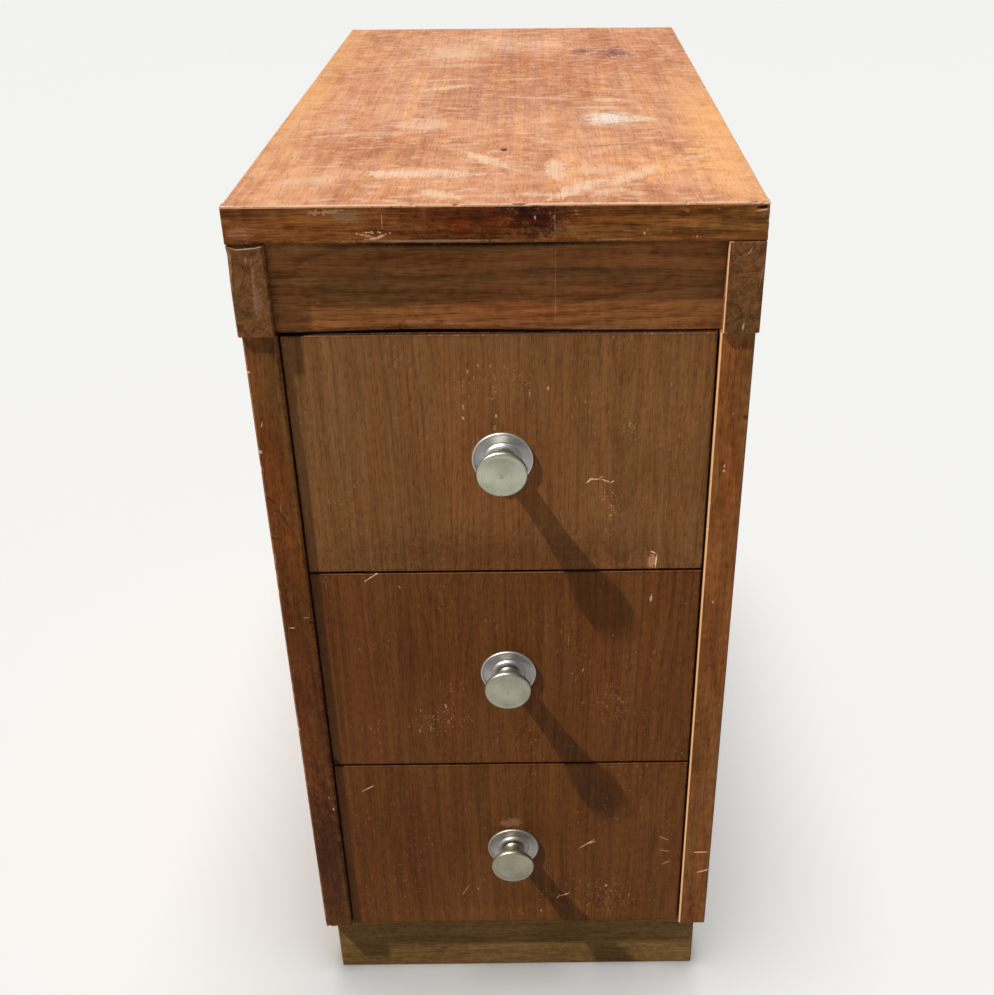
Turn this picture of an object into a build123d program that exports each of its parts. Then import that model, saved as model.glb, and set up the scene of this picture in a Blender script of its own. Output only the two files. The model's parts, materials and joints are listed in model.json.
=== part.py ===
from build123d import *
import os

os.makedirs("parts", exist_ok=True)

# A narrow wooden pedestal with three side-hung drawers. Millimetres, +Z up, front towards -Y.
# The origin is on the floor, under the middle of the whole object, knobs included.

# Overall sizes
overall_height = 764.5
top_width = 354.0
top_depth = 593.0
top_thickness = 26.5
top_overhang = 2.0
lipping_thickness = 6.0
lipping_arris = 1.5

# Frieze, the band of rails under the top
frieze_height = 67.0
frieze_rail_thickness = 25.0
frieze_arris = 0.8
front_rail_thickness = 20.0
front_rail_recess = 5.0

# Posts, bottom rails and side panels
post_width = 24.0
post_depth = 45.0
post_arris = 1.2
bottom_rail_height = 40.0
side_panel_thickness = 9.0
side_panel_recess = 5.0
panel_groove_depth = 8.0

# Back and bottom
back_rail_thickness = 20.0
back_panel_thickness = 5.0
back_rebate_width = 10.0
back_rebate_height = 20.0
bottom_board_thickness = 9.0
bottom_board_setback = 2.0

# Plinth
plinth_height = 67.0
plinth_inset = 8.5
plinth_thickness = 18.0
corner_block_leg = 38.0
corner_block_height = 60.0

# Joinery of the case
tenon_thickness = 10.0
tenon_length = 12.0
tenon_shoulder = 6.0
post_tenon_height = 16.0
post_tenon_shoulder = 10.0
bottom_tenon_length = 8.0
joint_gap = 0.1

# Drawers
drawer_count = 3
drawer_gap = 1.5
drawer_side_gap = 1.3
drawer_recess = 2.7
drawer_end_room = 11.3
drawer_front_thickness = 20.0
drawer_front_arris = 0.6
drawer_side_thickness = 14.0
drawer_side_rise = 10.0
drawer_side_drop = 18.0
drawer_back_thickness = 12.0
drawer_bottom_thickness = 6.0
drawer_bottom_rise = 12.0
bottom_groove_depth = 6.0

# Dovetails
tail_count = 4
tail_slope = 1 / 7
pin_width = 8.0
front_lap = 6.0

# Runners, in grooves of the drawer sides
runner_thickness = 8.0
runner_height = 12.0
runner_clearance = 0.3
runner_lead = 2.0
runner_stop_gap = 0.5
runner_tail = 2

# Wood screws and the wooden buttons that hold the top down
fastener_sides = 8
fastener_clearance = 0.05
fastener_end_room = 1.0
screw_shank_radius = 1.8
screw_head_radius = 3.6
screw_head_height = 2.0
screw_length = 28.0
screw_edge_distance = 12.0
button_length = 30.0
button_width = 25.0
button_height = 16.0
button_tongue = 6.0
button_end_distance = 150.0

# Pins of the back panel
pin_radius = 0.9
pin_head_radius = 1.7
pin_head_height = 0.8
pin_length = 20.0
pins_per_side = 4
pin_spread = 70.0

# Knobs and their back plates
plate_radius = 22.25
plate_rim_width = 1.6
plate_rim_height = 2.0
plate_dish_height = 1.0
collar_foot_radius = 13.25
collar_top_radius = 12.0
collar_height = 3.0
knob_neck_radius = 8.0
knob_waist_height = 10.0
knob_waist_flare = 0.9
knob_head_radius = 18.2
knob_head_low = 17.4
knob_rim_low = 19.0
knob_face_height = 22.3
knob_tip_height = 23.7
knob_under_radius = 15.6
knob_face_rounding = 1.6
knob_dimple_radius = 1.6
knob_dimple_depth = 0.5
knob_bore_depth = 11.0
knob_screw_radius = 2.0
knob_screw_reach = 9.0
knob_screw_head_radius = 4.2
knob_screw_head_height = 2.8

# Heights that follow from the sizes above
frieze_top_z = overall_height - top_thickness
frieze_bottom_z = frieze_top_z - frieze_height
case_bottom_z = plinth_height
bottom_rail_top_z = case_bottom_z + bottom_rail_height
drawer_pitch = (frieze_bottom_z - case_bottom_z) / drawer_count

# Places across the width, for the right-hand side
half_top = top_width / 2
half_case = half_top - top_overhang
post_inner_x = half_case - post_width
frieze_inner_x = half_top - frieze_rail_thickness
side_panel_outer_x = half_case - side_panel_recess
side_panel_inner_x = side_panel_outer_x - side_panel_thickness
plinth_outer_x = half_case - plinth_inset
plinth_inner_x = plinth_outer_x - plinth_thickness
drawer_outer_x = post_inner_x - drawer_side_gap
drawer_inner_x = drawer_outer_x - drawer_side_thickness

# Places from front to back
knob_reach = knob_tip_height - drawer_recess
case_front_y = -(top_depth - top_overhang - knob_reach) / 2
case_back_y = case_front_y + top_depth - 2 * top_overhang
top_front_y = case_front_y - top_overhang
top_back_y = case_back_y + top_overhang
front_post_back_y = case_front_y + post_depth
back_post_front_y = case_back_y - post_depth
back_panel_front_y = case_back_y - back_panel_thickness
front_rail_y = case_front_y + front_rail_recess
back_rail_y = case_back_y - back_rail_thickness
back_bottom_rail_y = back_panel_front_y - back_rail_thickness
plinth_front_y = case_front_y + plinth_inset
plinth_back_y = case_back_y - plinth_inset
drawer_face_y = case_front_y + drawer_recess
drawer_front_back_y = drawer_face_y + drawer_front_thickness
drawer_length = back_bottom_rail_y - drawer_end_room - drawer_face_y
drawer_end_y = drawer_face_y + drawer_length
drawer_back_y = drawer_end_y - drawer_back_thickness
front_socket_y = drawer_face_y + front_lap
runner_front_y = drawer_front_back_y + runner_stop_gap
bottom_board_front_y = drawer_front_back_y + bottom_board_setback


def block_between(low, high, mode=Mode.ADD):
    """Add or cut a block between two opposite corners."""
    centre = tuple((near + far) / 2 for near, far in zip(low, high))
    with Locations(centre):
        Box(*(abs(far - near) for near, far in zip(low, high)), mode=mode)


def rectangle_between(low, high, mode=Mode.ADD):
    """Draw or cut a rectangle between two opposite corners of a sketch."""
    with Locations(((low[0] + high[0]) / 2, (low[1] + high[1]) / 2)):
        Rectangle(abs(high[0] - low[0]), abs(high[1] - low[1]), mode=mode)


def tail_outlines(root_y, tip_y, low_z, high_z, growth=0.0):
    """Draw a row of dovetail tails that widen from their root to their tip."""
    pitch = (high_z - low_z) / tail_count
    tip_half = (pitch - pin_width) / 2 + growth
    root_half = tip_half - abs(tip_y - root_y) * tail_slope
    for index in range(tail_count):
        middle = low_z + (index + 0.5) * pitch
        Polygon(
            (root_y, middle - root_half),
            (tip_y, middle - tip_half),
            (tip_y, middle + tip_half),
            (root_y, middle + root_half),
            align=None,
        )


def save(piece, name):
    """Label a finished piece and write its STEP file."""
    piece.part.label = name
    export_step(piece.part, f"parts/{name}.step")


def front_low_z(number):
    """Give the height of the lower edge of a drawer's front, counted from the top drawer."""
    return frieze_bottom_z - number * drawer_pitch + drawer_gap / 2


def side_low_z(number):
    """Give the height of the lower edge of a drawer's sides."""
    return front_low_z(number) + drawer_side_rise


def side_high_z(number):
    """Give the height of the upper edge of a drawer's sides."""
    return front_low_z(number) + drawer_pitch - drawer_gap - drawer_side_drop


def back_low_z(number):
    """Give the height of a drawer back's lower edge, which rests on the drawer bottom."""
    return side_low_z(number) + drawer_bottom_rise + drawer_bottom_thickness


def runner_z(number):
    """Give the height of a runner's middle, which passes through one tail of the drawer back."""
    tail_pitch = (side_high_z(number) - back_low_z(number)) / tail_count
    return back_low_z(number) + (runner_tail + 0.5) * tail_pitch


drawer_numbers = range(1, drawer_count + 1)

# Where the fasteners sit
runner_screw_ys = (front_post_back_y - screw_edge_distance, back_post_front_y + screw_edge_distance)
button_ys = (case_front_y + button_end_distance, case_back_y - button_end_distance)
button_low_z = frieze_top_z - button_height
button_screw_x = frieze_inner_x - button_length / 2
pin_column_x = post_inner_x + back_rebate_width / 2
pin_column_pitch = (frieze_bottom_z - case_bottom_z) / pins_per_side
pin_column_zs = [case_bottom_z + (index + 0.5) * pin_column_pitch for index in range(pins_per_side)]
pin_top_z = frieze_bottom_z + back_rebate_height / 2
pin_bottom_z = case_bottom_z + bottom_rail_height / 2


def build_screw(growth=0.0, end_room=0.0):
    """Make a countersunk screw with its head's top at height 0, or the larger room that it needs."""
    with BuildPart() as screw:
        with BuildSketch(Plane.XY.offset(-screw_length - end_room)):
            RegularPolygon(screw_shank_radius + growth, fastener_sides)
        extrude(amount=screw_length + end_room - screw_head_height)
        with BuildSketch(Plane.XY.offset(-screw_head_height)):
            RegularPolygon(screw_shank_radius + growth, fastener_sides)
        with BuildSketch(Plane.XY):
            RegularPolygon(screw_head_radius + growth, fastener_sides)
        loft()
    return screw.part


def build_pin(growth=0.0, end_room=0.0):
    """Make a flat-headed pin with its head's underside at height 0, or the larger room that it needs."""
    with BuildPart() as pin:
        with BuildSketch(Plane.XY.offset(-pin_length - end_room)):
            RegularPolygon(pin_radius + growth, fastener_sides)
        extrude(amount=pin_length + end_room)
        with BuildSketch(Plane.XY):
            RegularPolygon(pin_head_radius + growth, fastener_sides)
        extrude(amount=pin_head_height)
    return pin.part


# One screw and one pin, with the rooms that they need in the wood
wood_screw = build_screw()
screw_room = build_screw(fastener_clearance, fastener_end_room)
panel_pin = build_pin()
pin_room = build_pin(fastener_clearance, fastener_end_room)


def place_runner_screws(form, side, numbers, mode=Mode.ADD):
    """Place a form at each screw of one side's runners."""
    for number in numbers:
        for y in runner_screw_ys:
            site = (side * (post_inner_x - runner_thickness), y, runner_z(number))
            with Locations(Plane(site, x_dir=(0, 1, 0), z_dir=(-side, 0, 0))):
                add(form, mode=mode)


def place_button_screws(form, mode=Mode.ADD):
    """Place a form at each button's screw, which points up into the top."""
    for side in (-1, 1):
        for y in button_ys:
            site = (side * button_screw_x, y, button_low_z)
            with Locations(Plane(site, x_dir=(1, 0, 0), z_dir=(0, 0, -1))):
                add(form, mode=mode)


def place_panel_pins(form, mode=Mode.ADD):
    """Place a form at each pin of the back panel."""
    for side in (-1, 1):
        sites = [(side * pin_column_x, z) for z in pin_column_zs]
        sites += [(side * pin_spread, z) for z in (pin_top_z, pin_bottom_z)]
        for x, z in sites:
            with Locations(Plane((x, case_back_y, z), x_dir=(1, 0, 0), z_dir=(0, 1, 0))):
                add(form, mode=mode)


with BuildPart() as runner_screws:
    for side in (-1, 1):
        place_runner_screws(wood_screw, side, drawer_numbers)
save(runner_screws, "runner_screws")

with BuildPart() as top_button_screws:
    place_button_screws(wood_screw)
save(top_button_screws, "top_button_screws")

with BuildPart() as back_panel_pins:
    place_panel_pins(panel_pin)
save(back_panel_pins, "back_panel_pins")

# Top board, with blind holes for the button screws
with BuildPart() as top_board:
    block_between(
        (lipping_thickness - half_top, top_front_y + lipping_thickness, frieze_top_z),
        (half_top - lipping_thickness, top_back_y, overall_height),
    )
    place_button_screws(screw_room, Mode.SUBTRACT)
save(top_board, "top_board")

# Lippings along the front and the sides of the top, with a worn upper arris
with BuildPart() as top_front_lipping:
    with BuildSketch(Plane.YZ.offset(-half_top)) as profile:
        rectangle_between((top_front_y, frieze_top_z), (top_front_y + lipping_thickness, overall_height))
        fillet(profile.vertices().group_by(Axis.X)[0].sort_by(Axis.Y)[-1], lipping_arris)
        chamfer(profile.vertices().group_by(Axis.X)[0].sort_by(Axis.Y)[0], frieze_arris)
    extrude(amount=top_width)
save(top_front_lipping, "top_front_lipping")

with BuildPart() as top_side_lipping_right:
    with BuildSketch(Plane.XZ.offset(-top_back_y)) as profile:
        rectangle_between((half_top - lipping_thickness, frieze_top_z), (half_top, overall_height))
        fillet(profile.vertices().group_by(Axis.X)[-1].sort_by(Axis.Y)[-1], lipping_arris)
        chamfer(profile.vertices().group_by(Axis.X)[-1].sort_by(Axis.Y)[0], frieze_arris)
    extrude(amount=top_depth - lipping_thickness)
save(top_side_lipping_right, "top_side_lipping_right")

with BuildPart() as top_side_lipping_left:
    mirror(top_side_lipping_right.part, about=Plane.YZ)
save(top_side_lipping_left, "top_side_lipping_left")

# Side rails of the frieze: their front ends show as two square blocks
with BuildPart() as frieze_rail_right:
    with BuildSketch(Plane.XZ.offset(-top_back_y)) as profile:
        rectangle_between((frieze_inner_x, frieze_bottom_z), (half_top, frieze_top_z))
        chamfer(profile.vertices().group_by(Axis.X)[-1], frieze_arris)
    extrude(amount=top_depth)
    chamfer(frieze_rail_right.edges().group_by(Axis.Y)[0], frieze_arris)
    post_middle_x = half_case - post_width / 2
    for low_y, high_y in ((case_front_y, front_post_back_y), (back_post_front_y, case_back_y)):
        block_between(
            (
                post_middle_x - tenon_thickness / 2 - joint_gap,
                low_y + post_tenon_shoulder - joint_gap,
                frieze_bottom_z,
            ),
            (
                post_middle_x + tenon_thickness / 2 + joint_gap,
                high_y - post_tenon_shoulder + joint_gap,
                frieze_bottom_z + post_tenon_height + joint_gap,
            ),
            mode=Mode.SUBTRACT,
        )
    for middle_y in (front_rail_y + front_rail_thickness / 2, back_rail_y + back_rail_thickness / 2):
        block_between(
            (
                frieze_inner_x,
                middle_y - tenon_thickness / 2 - joint_gap,
                frieze_bottom_z + post_tenon_height + tenon_shoulder - joint_gap,
            ),
            (
                frieze_inner_x + tenon_length + joint_gap,
                middle_y + tenon_thickness / 2 + joint_gap,
                frieze_top_z - tenon_shoulder + joint_gap,
            ),
            mode=Mode.SUBTRACT,
        )
    block_between(
        (side_panel_inner_x - joint_gap, front_post_back_y - panel_groove_depth, frieze_bottom_z),
        (
            side_panel_outer_x + joint_gap,
            back_post_front_y + panel_groove_depth,
            frieze_bottom_z + panel_groove_depth,
        ),
        mode=Mode.SUBTRACT,
    )
    for y in button_ys:
        block_between(
            (frieze_inner_x, y - button_width / 2 - joint_gap, button_low_z - joint_gap),
            (
                frieze_inner_x + button_tongue + joint_gap,
                y + button_width / 2 + joint_gap,
                button_low_z + button_tongue + joint_gap,
            ),
            mode=Mode.SUBTRACT,
        )
save(frieze_rail_right, "frieze_rail_right")

with BuildPart() as frieze_rail_left:
    mirror(frieze_rail_right.part, about=Plane.YZ)
save(frieze_rail_left, "frieze_rail_left")

# Front rail of the frieze, set back between the blocks
with BuildPart() as front_rail:
    block_between(
        (-frieze_inner_x, front_rail_y, frieze_bottom_z),
        (frieze_inner_x, front_rail_y + front_rail_thickness, frieze_top_z),
    )
    front_rail_middle_y = front_rail_y + front_rail_thickness / 2
    block_between(
        (
            -frieze_inner_x - tenon_length,
            front_rail_middle_y - tenon_thickness / 2,
            frieze_bottom_z + post_tenon_height + tenon_shoulder,
        ),
        (
            frieze_inner_x + tenon_length,
            front_rail_middle_y + tenon_thickness / 2,
            frieze_top_z - tenon_shoulder,
        ),
    )
save(front_rail, "front_rail")

# Back rail of the frieze, with a rebate for the back panel
with BuildPart() as back_top_rail:
    block_between(
        (-frieze_inner_x, back_rail_y, frieze_bottom_z),
        (frieze_inner_x, case_back_y, frieze_top_z),
    )
    back_rail_middle_y = back_rail_y + back_rail_thickness / 2
    block_between(
        (
            -frieze_inner_x - tenon_length,
            back_rail_middle_y - tenon_thickness / 2,
            frieze_bottom_z + post_tenon_height + tenon_shoulder,
        ),
        (
            frieze_inner_x + tenon_length,
            back_rail_middle_y + tenon_thickness / 2,
            frieze_top_z - tenon_shoulder,
        ),
    )
    block_between(
        (-frieze_inner_x, back_panel_front_y, frieze_bottom_z),
        (frieze_inner_x, case_back_y, frieze_bottom_z + back_rebate_height),
        mode=Mode.SUBTRACT,
    )
    place_panel_pins(pin_room, Mode.SUBTRACT)
save(back_top_rail, "back_top_rail")

# Front posts: tenoned up into the frieze, grooved for the side panel, bored for the runner screws
with BuildPart() as front_post_right:
    with BuildSketch(Plane.XY.offset(case_bottom_z)) as plan:
        rectangle_between((post_inner_x, case_front_y), (half_case, front_post_back_y))
        chamfer(plan.vertices().group_by(Axis.Y)[0], post_arris)
    extrude(amount=frieze_bottom_z - case_bottom_z)
    post_middle_x = half_case - post_width / 2
    block_between(
        (post_middle_x - tenon_thickness / 2, case_front_y + post_tenon_shoulder, frieze_bottom_z),
        (
            post_middle_x + tenon_thickness / 2,
            front_post_back_y - post_tenon_shoulder,
            frieze_bottom_z + post_tenon_height,
        ),
    )
    block_between(
        (
            side_panel_inner_x - joint_gap,
            front_post_back_y - panel_groove_depth,
            bottom_rail_top_z - panel_groove_depth,
        ),
        (side_panel_outer_x + joint_gap, front_post_back_y, frieze_bottom_z),
        mode=Mode.SUBTRACT,
    )
    block_between(
        (
            post_middle_x - tenon_thickness / 2 - joint_gap,
            front_post_back_y - bottom_tenon_length - joint_gap,
            case_bottom_z + post_tenon_shoulder - joint_gap,
        ),
        (
            post_middle_x + tenon_thickness / 2 + joint_gap,
            front_post_back_y,
            bottom_rail_top_z - post_tenon_shoulder + joint_gap,
        ),
        mode=Mode.SUBTRACT,
    )
    place_runner_screws(screw_room, 1, drawer_numbers, Mode.SUBTRACT)
save(front_post_right, "front_post_right")

with BuildPart() as front_post_left:
    mirror(front_post_right.part, about=Plane.YZ)
save(front_post_left, "front_post_left")

# Back posts: the same joints, and a rebate for the back panel
with BuildPart() as back_post_right:
    with BuildSketch(Plane.XY.offset(case_bottom_z)) as plan:
        rectangle_between((post_inner_x, back_post_front_y), (half_case, case_back_y))
        rectangle_between(
            (post_inner_x, back_panel_front_y),
            (post_inner_x + back_rebate_width, case_back_y),
            mode=Mode.SUBTRACT,
        )
    extrude(amount=frieze_bottom_z - case_bottom_z)
    post_middle_x = half_case - post_width / 2
    block_between(
        (post_middle_x - tenon_thickness / 2, back_post_front_y + post_tenon_shoulder, frieze_bottom_z),
        (
            post_middle_x + tenon_thickness / 2,
            case_back_y - post_tenon_shoulder,
            frieze_bottom_z + post_tenon_height,
        ),
    )
    block_between(
        (side_panel_inner_x - joint_gap, back_post_front_y, bottom_rail_top_z - panel_groove_depth),
        (side_panel_outer_x + joint_gap, back_post_front_y + panel_groove_depth, frieze_bottom_z),
        mode=Mode.SUBTRACT,
    )
    block_between(
        (
            post_middle_x - tenon_thickness / 2 - joint_gap,
            back_post_front_y,
            case_bottom_z + post_tenon_shoulder - joint_gap,
        ),
        (
            post_middle_x + tenon_thickness / 2 + joint_gap,
            back_post_front_y + bottom_tenon_length + joint_gap,
            bottom_rail_top_z - post_tenon_shoulder + joint_gap,
        ),
        mode=Mode.SUBTRACT,
    )
    back_tenon_y = back_bottom_rail_y + back_rail_thickness / 2
    block_between(
        (
            post_inner_x,
            back_tenon_y - tenon_thickness / 2 - joint_gap,
            case_bottom_z + post_tenon_shoulder - joint_gap,
        ),
        (
            post_inner_x + bottom_tenon_length + joint_gap,
            back_tenon_y + tenon_thickness / 2 + joint_gap,
            bottom_rail_top_z - post_tenon_shoulder + joint_gap,
        ),
        mode=Mode.SUBTRACT,
    )
    place_runner_screws(screw_room, 1, drawer_numbers, Mode.SUBTRACT)
    place_panel_pins(pin_room, Mode.SUBTRACT)
save(back_post_right, "back_post_right")

with BuildPart() as back_post_left:
    mirror(back_post_right.part, about=Plane.YZ)
save(back_post_left, "back_post_left")

# Bottom rails at the sides, tenoned into the posts and grooved for the panel
with BuildPart() as bottom_rail_right:
    with BuildSketch(Plane.XZ.offset(-back_post_front_y)) as profile:
        rectangle_between((post_inner_x, case_bottom_z), (half_case, bottom_rail_top_z))
        rectangle_between(
            (side_panel_inner_x - joint_gap, bottom_rail_top_z - panel_groove_depth),
            (side_panel_outer_x + joint_gap, bottom_rail_top_z),
            mode=Mode.SUBTRACT,
        )
    extrude(amount=back_post_front_y - front_post_back_y)
    post_middle_x = half_case - post_width / 2
    block_between(
        (
            post_middle_x - tenon_thickness / 2,
            front_post_back_y - bottom_tenon_length,
            case_bottom_z + post_tenon_shoulder,
        ),
        (
            post_middle_x + tenon_thickness / 2,
            back_post_front_y + bottom_tenon_length,
            bottom_rail_top_z - post_tenon_shoulder,
        ),
    )
save(bottom_rail_right, "bottom_rail_right")

with BuildPart() as bottom_rail_left:
    mirror(bottom_rail_right.part, about=Plane.YZ)
save(bottom_rail_left, "bottom_rail_left")

# Bottom rail at the back
with BuildPart() as back_bottom_rail:
    block_between(
        (-post_inner_x, back_bottom_rail_y, case_bottom_z),
        (post_inner_x, back_panel_front_y, bottom_rail_top_z),
    )
    back_tenon_y = back_bottom_rail_y + back_rail_thickness / 2
    block_between(
        (
            -post_inner_x - bottom_tenon_length,
            back_tenon_y - tenon_thickness / 2,
            case_bottom_z + post_tenon_shoulder,
        ),
        (
            post_inner_x + bottom_tenon_length,
            back_tenon_y + tenon_thickness / 2,
            bottom_rail_top_z - post_tenon_shoulder,
        ),
    )
    place_panel_pins(pin_room, Mode.SUBTRACT)
save(back_bottom_rail, "back_bottom_rail")

# Side panels, loose in their grooves
with BuildPart() as side_panel_right:
    block_between(
        (
            side_panel_inner_x,
            front_post_back_y - panel_groove_depth + joint_gap,
            bottom_rail_top_z - panel_groove_depth + joint_gap,
        ),
        (
            side_panel_outer_x,
            back_post_front_y + panel_groove_depth - joint_gap,
            frieze_bottom_z + panel_groove_depth - joint_gap,
        ),
    )
save(side_panel_right, "side_panel_right")

with BuildPart() as side_panel_left:
    mirror(side_panel_right.part, about=Plane.YZ)
save(side_panel_left, "side_panel_left")

# Back panel, notched round the side rails of the frieze and pinned in its rebates
with BuildPart() as back_panel:
    panel_half = post_inner_x + back_rebate_width - joint_gap
    neck_half = frieze_inner_x - joint_gap
    with BuildSketch(Plane.XZ.offset(-case_back_y)):
        rectangle_between((-panel_half, case_bottom_z), (panel_half, frieze_bottom_z - joint_gap))
        rectangle_between(
            (-neck_half, frieze_bottom_z - joint_gap),
            (neck_half, frieze_bottom_z + back_rebate_height - joint_gap),
        )
    extrude(amount=back_panel_thickness)
    place_panel_pins(pin_room, Mode.SUBTRACT)
save(back_panel, "back_panel")

# Bottom board, resting on the plinth between the bottom rails
with BuildPart() as bottom_board:
    block_between(
        (joint_gap - post_inner_x, bottom_board_front_y, case_bottom_z),
        (post_inner_x - joint_gap, back_bottom_rail_y - joint_gap, case_bottom_z + bottom_board_thickness),
    )
save(bottom_board, "bottom_board")

# Plinth: mitred at the front, with the back board between the sides
with BuildPart() as plinth_front:
    with BuildSketch(Plane.XY):
        Polygon(
            (-plinth_outer_x, plinth_front_y),
            (plinth_outer_x, plinth_front_y),
            (plinth_inner_x, plinth_front_y + plinth_thickness),
            (-plinth_inner_x, plinth_front_y + plinth_thickness),
            align=None,
        )
    extrude(amount=plinth_height)
save(plinth_front, "plinth_front")

with BuildPart() as plinth_right:
    with BuildSketch(Plane.XY):
        Polygon(
            (plinth_outer_x, plinth_front_y),
            (plinth_outer_x, plinth_back_y),
            (plinth_inner_x, plinth_back_y),
            (plinth_inner_x, plinth_front_y + plinth_thickness),
            align=None,
        )
    extrude(amount=plinth_height)
save(plinth_right, "plinth_right")

with BuildPart() as plinth_left:
    mirror(plinth_right.part, about=Plane.YZ)
save(plinth_left, "plinth_left")

with BuildPart() as plinth_back:
    block_between(
        (-plinth_inner_x, plinth_back_y - plinth_thickness, 0),
        (plinth_inner_x, plinth_back_y, plinth_height),
    )
save(plinth_back, "plinth_back")

# Glued corner blocks, flush with the top of the plinth
with BuildPart() as plinth_corner_blocks:
    with BuildSketch(Plane.XY.offset(plinth_height - corner_block_height)):
        for side in (-1, 1):
            for wall_y, inward in (
                (plinth_front_y + plinth_thickness, 1),
                (plinth_back_y - plinth_thickness, -1),
            ):
                Polygon(
                    (side * plinth_inner_x, wall_y),
                    (side * (plinth_inner_x - corner_block_leg), wall_y),
                    (side * plinth_inner_x, wall_y + inward * corner_block_leg),
                    align=None,
                )
    extrude(amount=corner_block_height)
save(plinth_corner_blocks, "plinth_corner_blocks")

# Buttons: blocks against the underside of the top, with a tongue in the frieze rail
with BuildPart() as top_buttons:
    for side in (-1, 1):
        for y in button_ys:
            block_between(
                (side * (frieze_inner_x - joint_gap), y - button_width / 2, button_low_z),
                (side * (frieze_inner_x - button_length), y + button_width / 2, frieze_top_z),
            )
            block_between(
                (side * (frieze_inner_x - joint_gap), y - button_width / 2, button_low_z),
                (
                    side * (frieze_inner_x + button_tongue),
                    y + button_width / 2,
                    button_low_z + button_tongue,
                ),
            )
    place_button_screws(screw_room, Mode.SUBTRACT)
save(top_buttons, "top_buttons")

# Runners and drawers, from the top drawer down
for number in drawer_numbers:
    low_z = front_low_z(number)
    high_z = low_z + drawer_pitch - drawer_gap
    board_low_z = side_low_z(number)
    board_high_z = side_high_z(number)
    bottom_low_z = board_low_z + drawer_bottom_rise
    rear_low_z = back_low_z(number)
    knob_z = (low_z + high_z) / 2
    bore_radius = knob_screw_radius + fastener_clearance

    with BuildPart() as runner_right:
        middle_z = runner_z(number)
        block_between(
            (post_inner_x - runner_thickness, runner_front_y, middle_z - runner_height / 2),
            (post_inner_x, back_panel_front_y - joint_gap, middle_z + runner_height / 2),
        )
        chamfer(
            runner_right.edges().group_by(Axis.Y)[0].group_by(Axis.X)[0],
            runner_lead,
        )
        place_runner_screws(screw_room, 1, [number], Mode.SUBTRACT)
    save(runner_right, f"runner_right_{number}")

    with BuildPart() as runner_left:
        mirror(runner_right.part, about=Plane.YZ)
    save(runner_left, f"runner_left_{number}")

    # Drawer front, with lapped sockets for the tails of the sides and a groove for the bottom
    with BuildPart() as drawer_front:
        block_between(
            (-drawer_outer_x, drawer_face_y, low_z),
            (drawer_outer_x, drawer_front_back_y, high_z),
        )
        chamfer(drawer_front.edges().group_by(Axis.Y)[0], drawer_front_arris)
        for socket_x in (-drawer_outer_x, drawer_inner_x - joint_gap):
            with BuildSketch(Plane.YZ.offset(socket_x)):
                tail_outlines(drawer_front_back_y, front_socket_y, board_low_z, board_high_z, joint_gap)
            extrude(amount=drawer_side_thickness + joint_gap, mode=Mode.SUBTRACT)
        block_between(
            (-drawer_inner_x, drawer_front_back_y - bottom_groove_depth, bottom_low_z - joint_gap),
            (drawer_inner_x, drawer_front_back_y, rear_low_z + joint_gap),
            mode=Mode.SUBTRACT,
        )
        with Locations(Plane((0, drawer_face_y, knob_z), z_dir=(0, -1, 0))):
            Hole(bore_radius, drawer_front_thickness)
    save(drawer_front, f"drawer_{number}_front")

    # Drawer side, with tails at both ends, a runner groove outside and a bottom groove inside
    with BuildPart() as drawer_side_right:
        with BuildSketch(Plane.YZ.offset(drawer_inner_x)):
            rectangle_between((drawer_front_back_y, board_low_z), (drawer_back_y, board_high_z))
            rectangle_between((drawer_back_y, board_low_z), (drawer_end_y, rear_low_z))
            tail_outlines(drawer_front_back_y, front_socket_y, board_low_z, board_high_z)
            tail_outlines(drawer_back_y, drawer_end_y, rear_low_z, board_high_z)
        extrude(amount=drawer_side_thickness)
        groove_half = runner_height / 2 + runner_clearance
        groove_bottom_x = post_inner_x - runner_thickness - runner_clearance
        block_between(
            (groove_bottom_x, drawer_front_back_y, runner_z(number) - groove_half),
            (drawer_outer_x, drawer_end_y, runner_z(number) + groove_half),
            mode=Mode.SUBTRACT,
        )
        block_between(
            (drawer_inner_x, front_socket_y, bottom_low_z - joint_gap),
            (drawer_inner_x + bottom_groove_depth, drawer_end_y, rear_low_z + joint_gap),
            mode=Mode.SUBTRACT,
        )
    save(drawer_side_right, f"drawer_{number}_side_right")

    with BuildPart() as drawer_side_left:
        mirror(drawer_side_right.part, about=Plane.YZ)
    save(drawer_side_left, f"drawer_{number}_side_left")

    # Drawer back, with pins between the tails of the sides
    with BuildPart() as drawer_back:
        block_between(
            (-drawer_outer_x, drawer_back_y, rear_low_z),
            (drawer_outer_x, drawer_end_y, board_high_z),
        )
        for socket_x in (-drawer_outer_x, drawer_inner_x - joint_gap):
            with BuildSketch(Plane.YZ.offset(socket_x)):
                tail_outlines(drawer_back_y, drawer_end_y, rear_low_z, board_high_z, joint_gap)
            extrude(amount=drawer_side_thickness + joint_gap, mode=Mode.SUBTRACT)
    save(drawer_back, f"drawer_{number}_back")

    # Drawer bottom, slid into the grooves from behind, under the back
    with BuildPart() as drawer_bottom:
        bottom_half = drawer_inner_x + bottom_groove_depth - joint_gap
        block_between(
            (-bottom_half, drawer_front_back_y - bottom_groove_depth + joint_gap, bottom_low_z),
            (bottom_half, drawer_end_y, rear_low_z),
        )
    save(drawer_bottom, f"drawer_{number}_bottom")

    # Knob, back plate and screw are turned about one axis that points out of the drawer's face
    knob_plane = Plane((0, drawer_face_y, knob_z), x_dir=(1, 0, 0), z_dir=(0, 0, -1))
    knob_axis = Axis((0, drawer_face_y, knob_z), (0, -1, 0))

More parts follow.
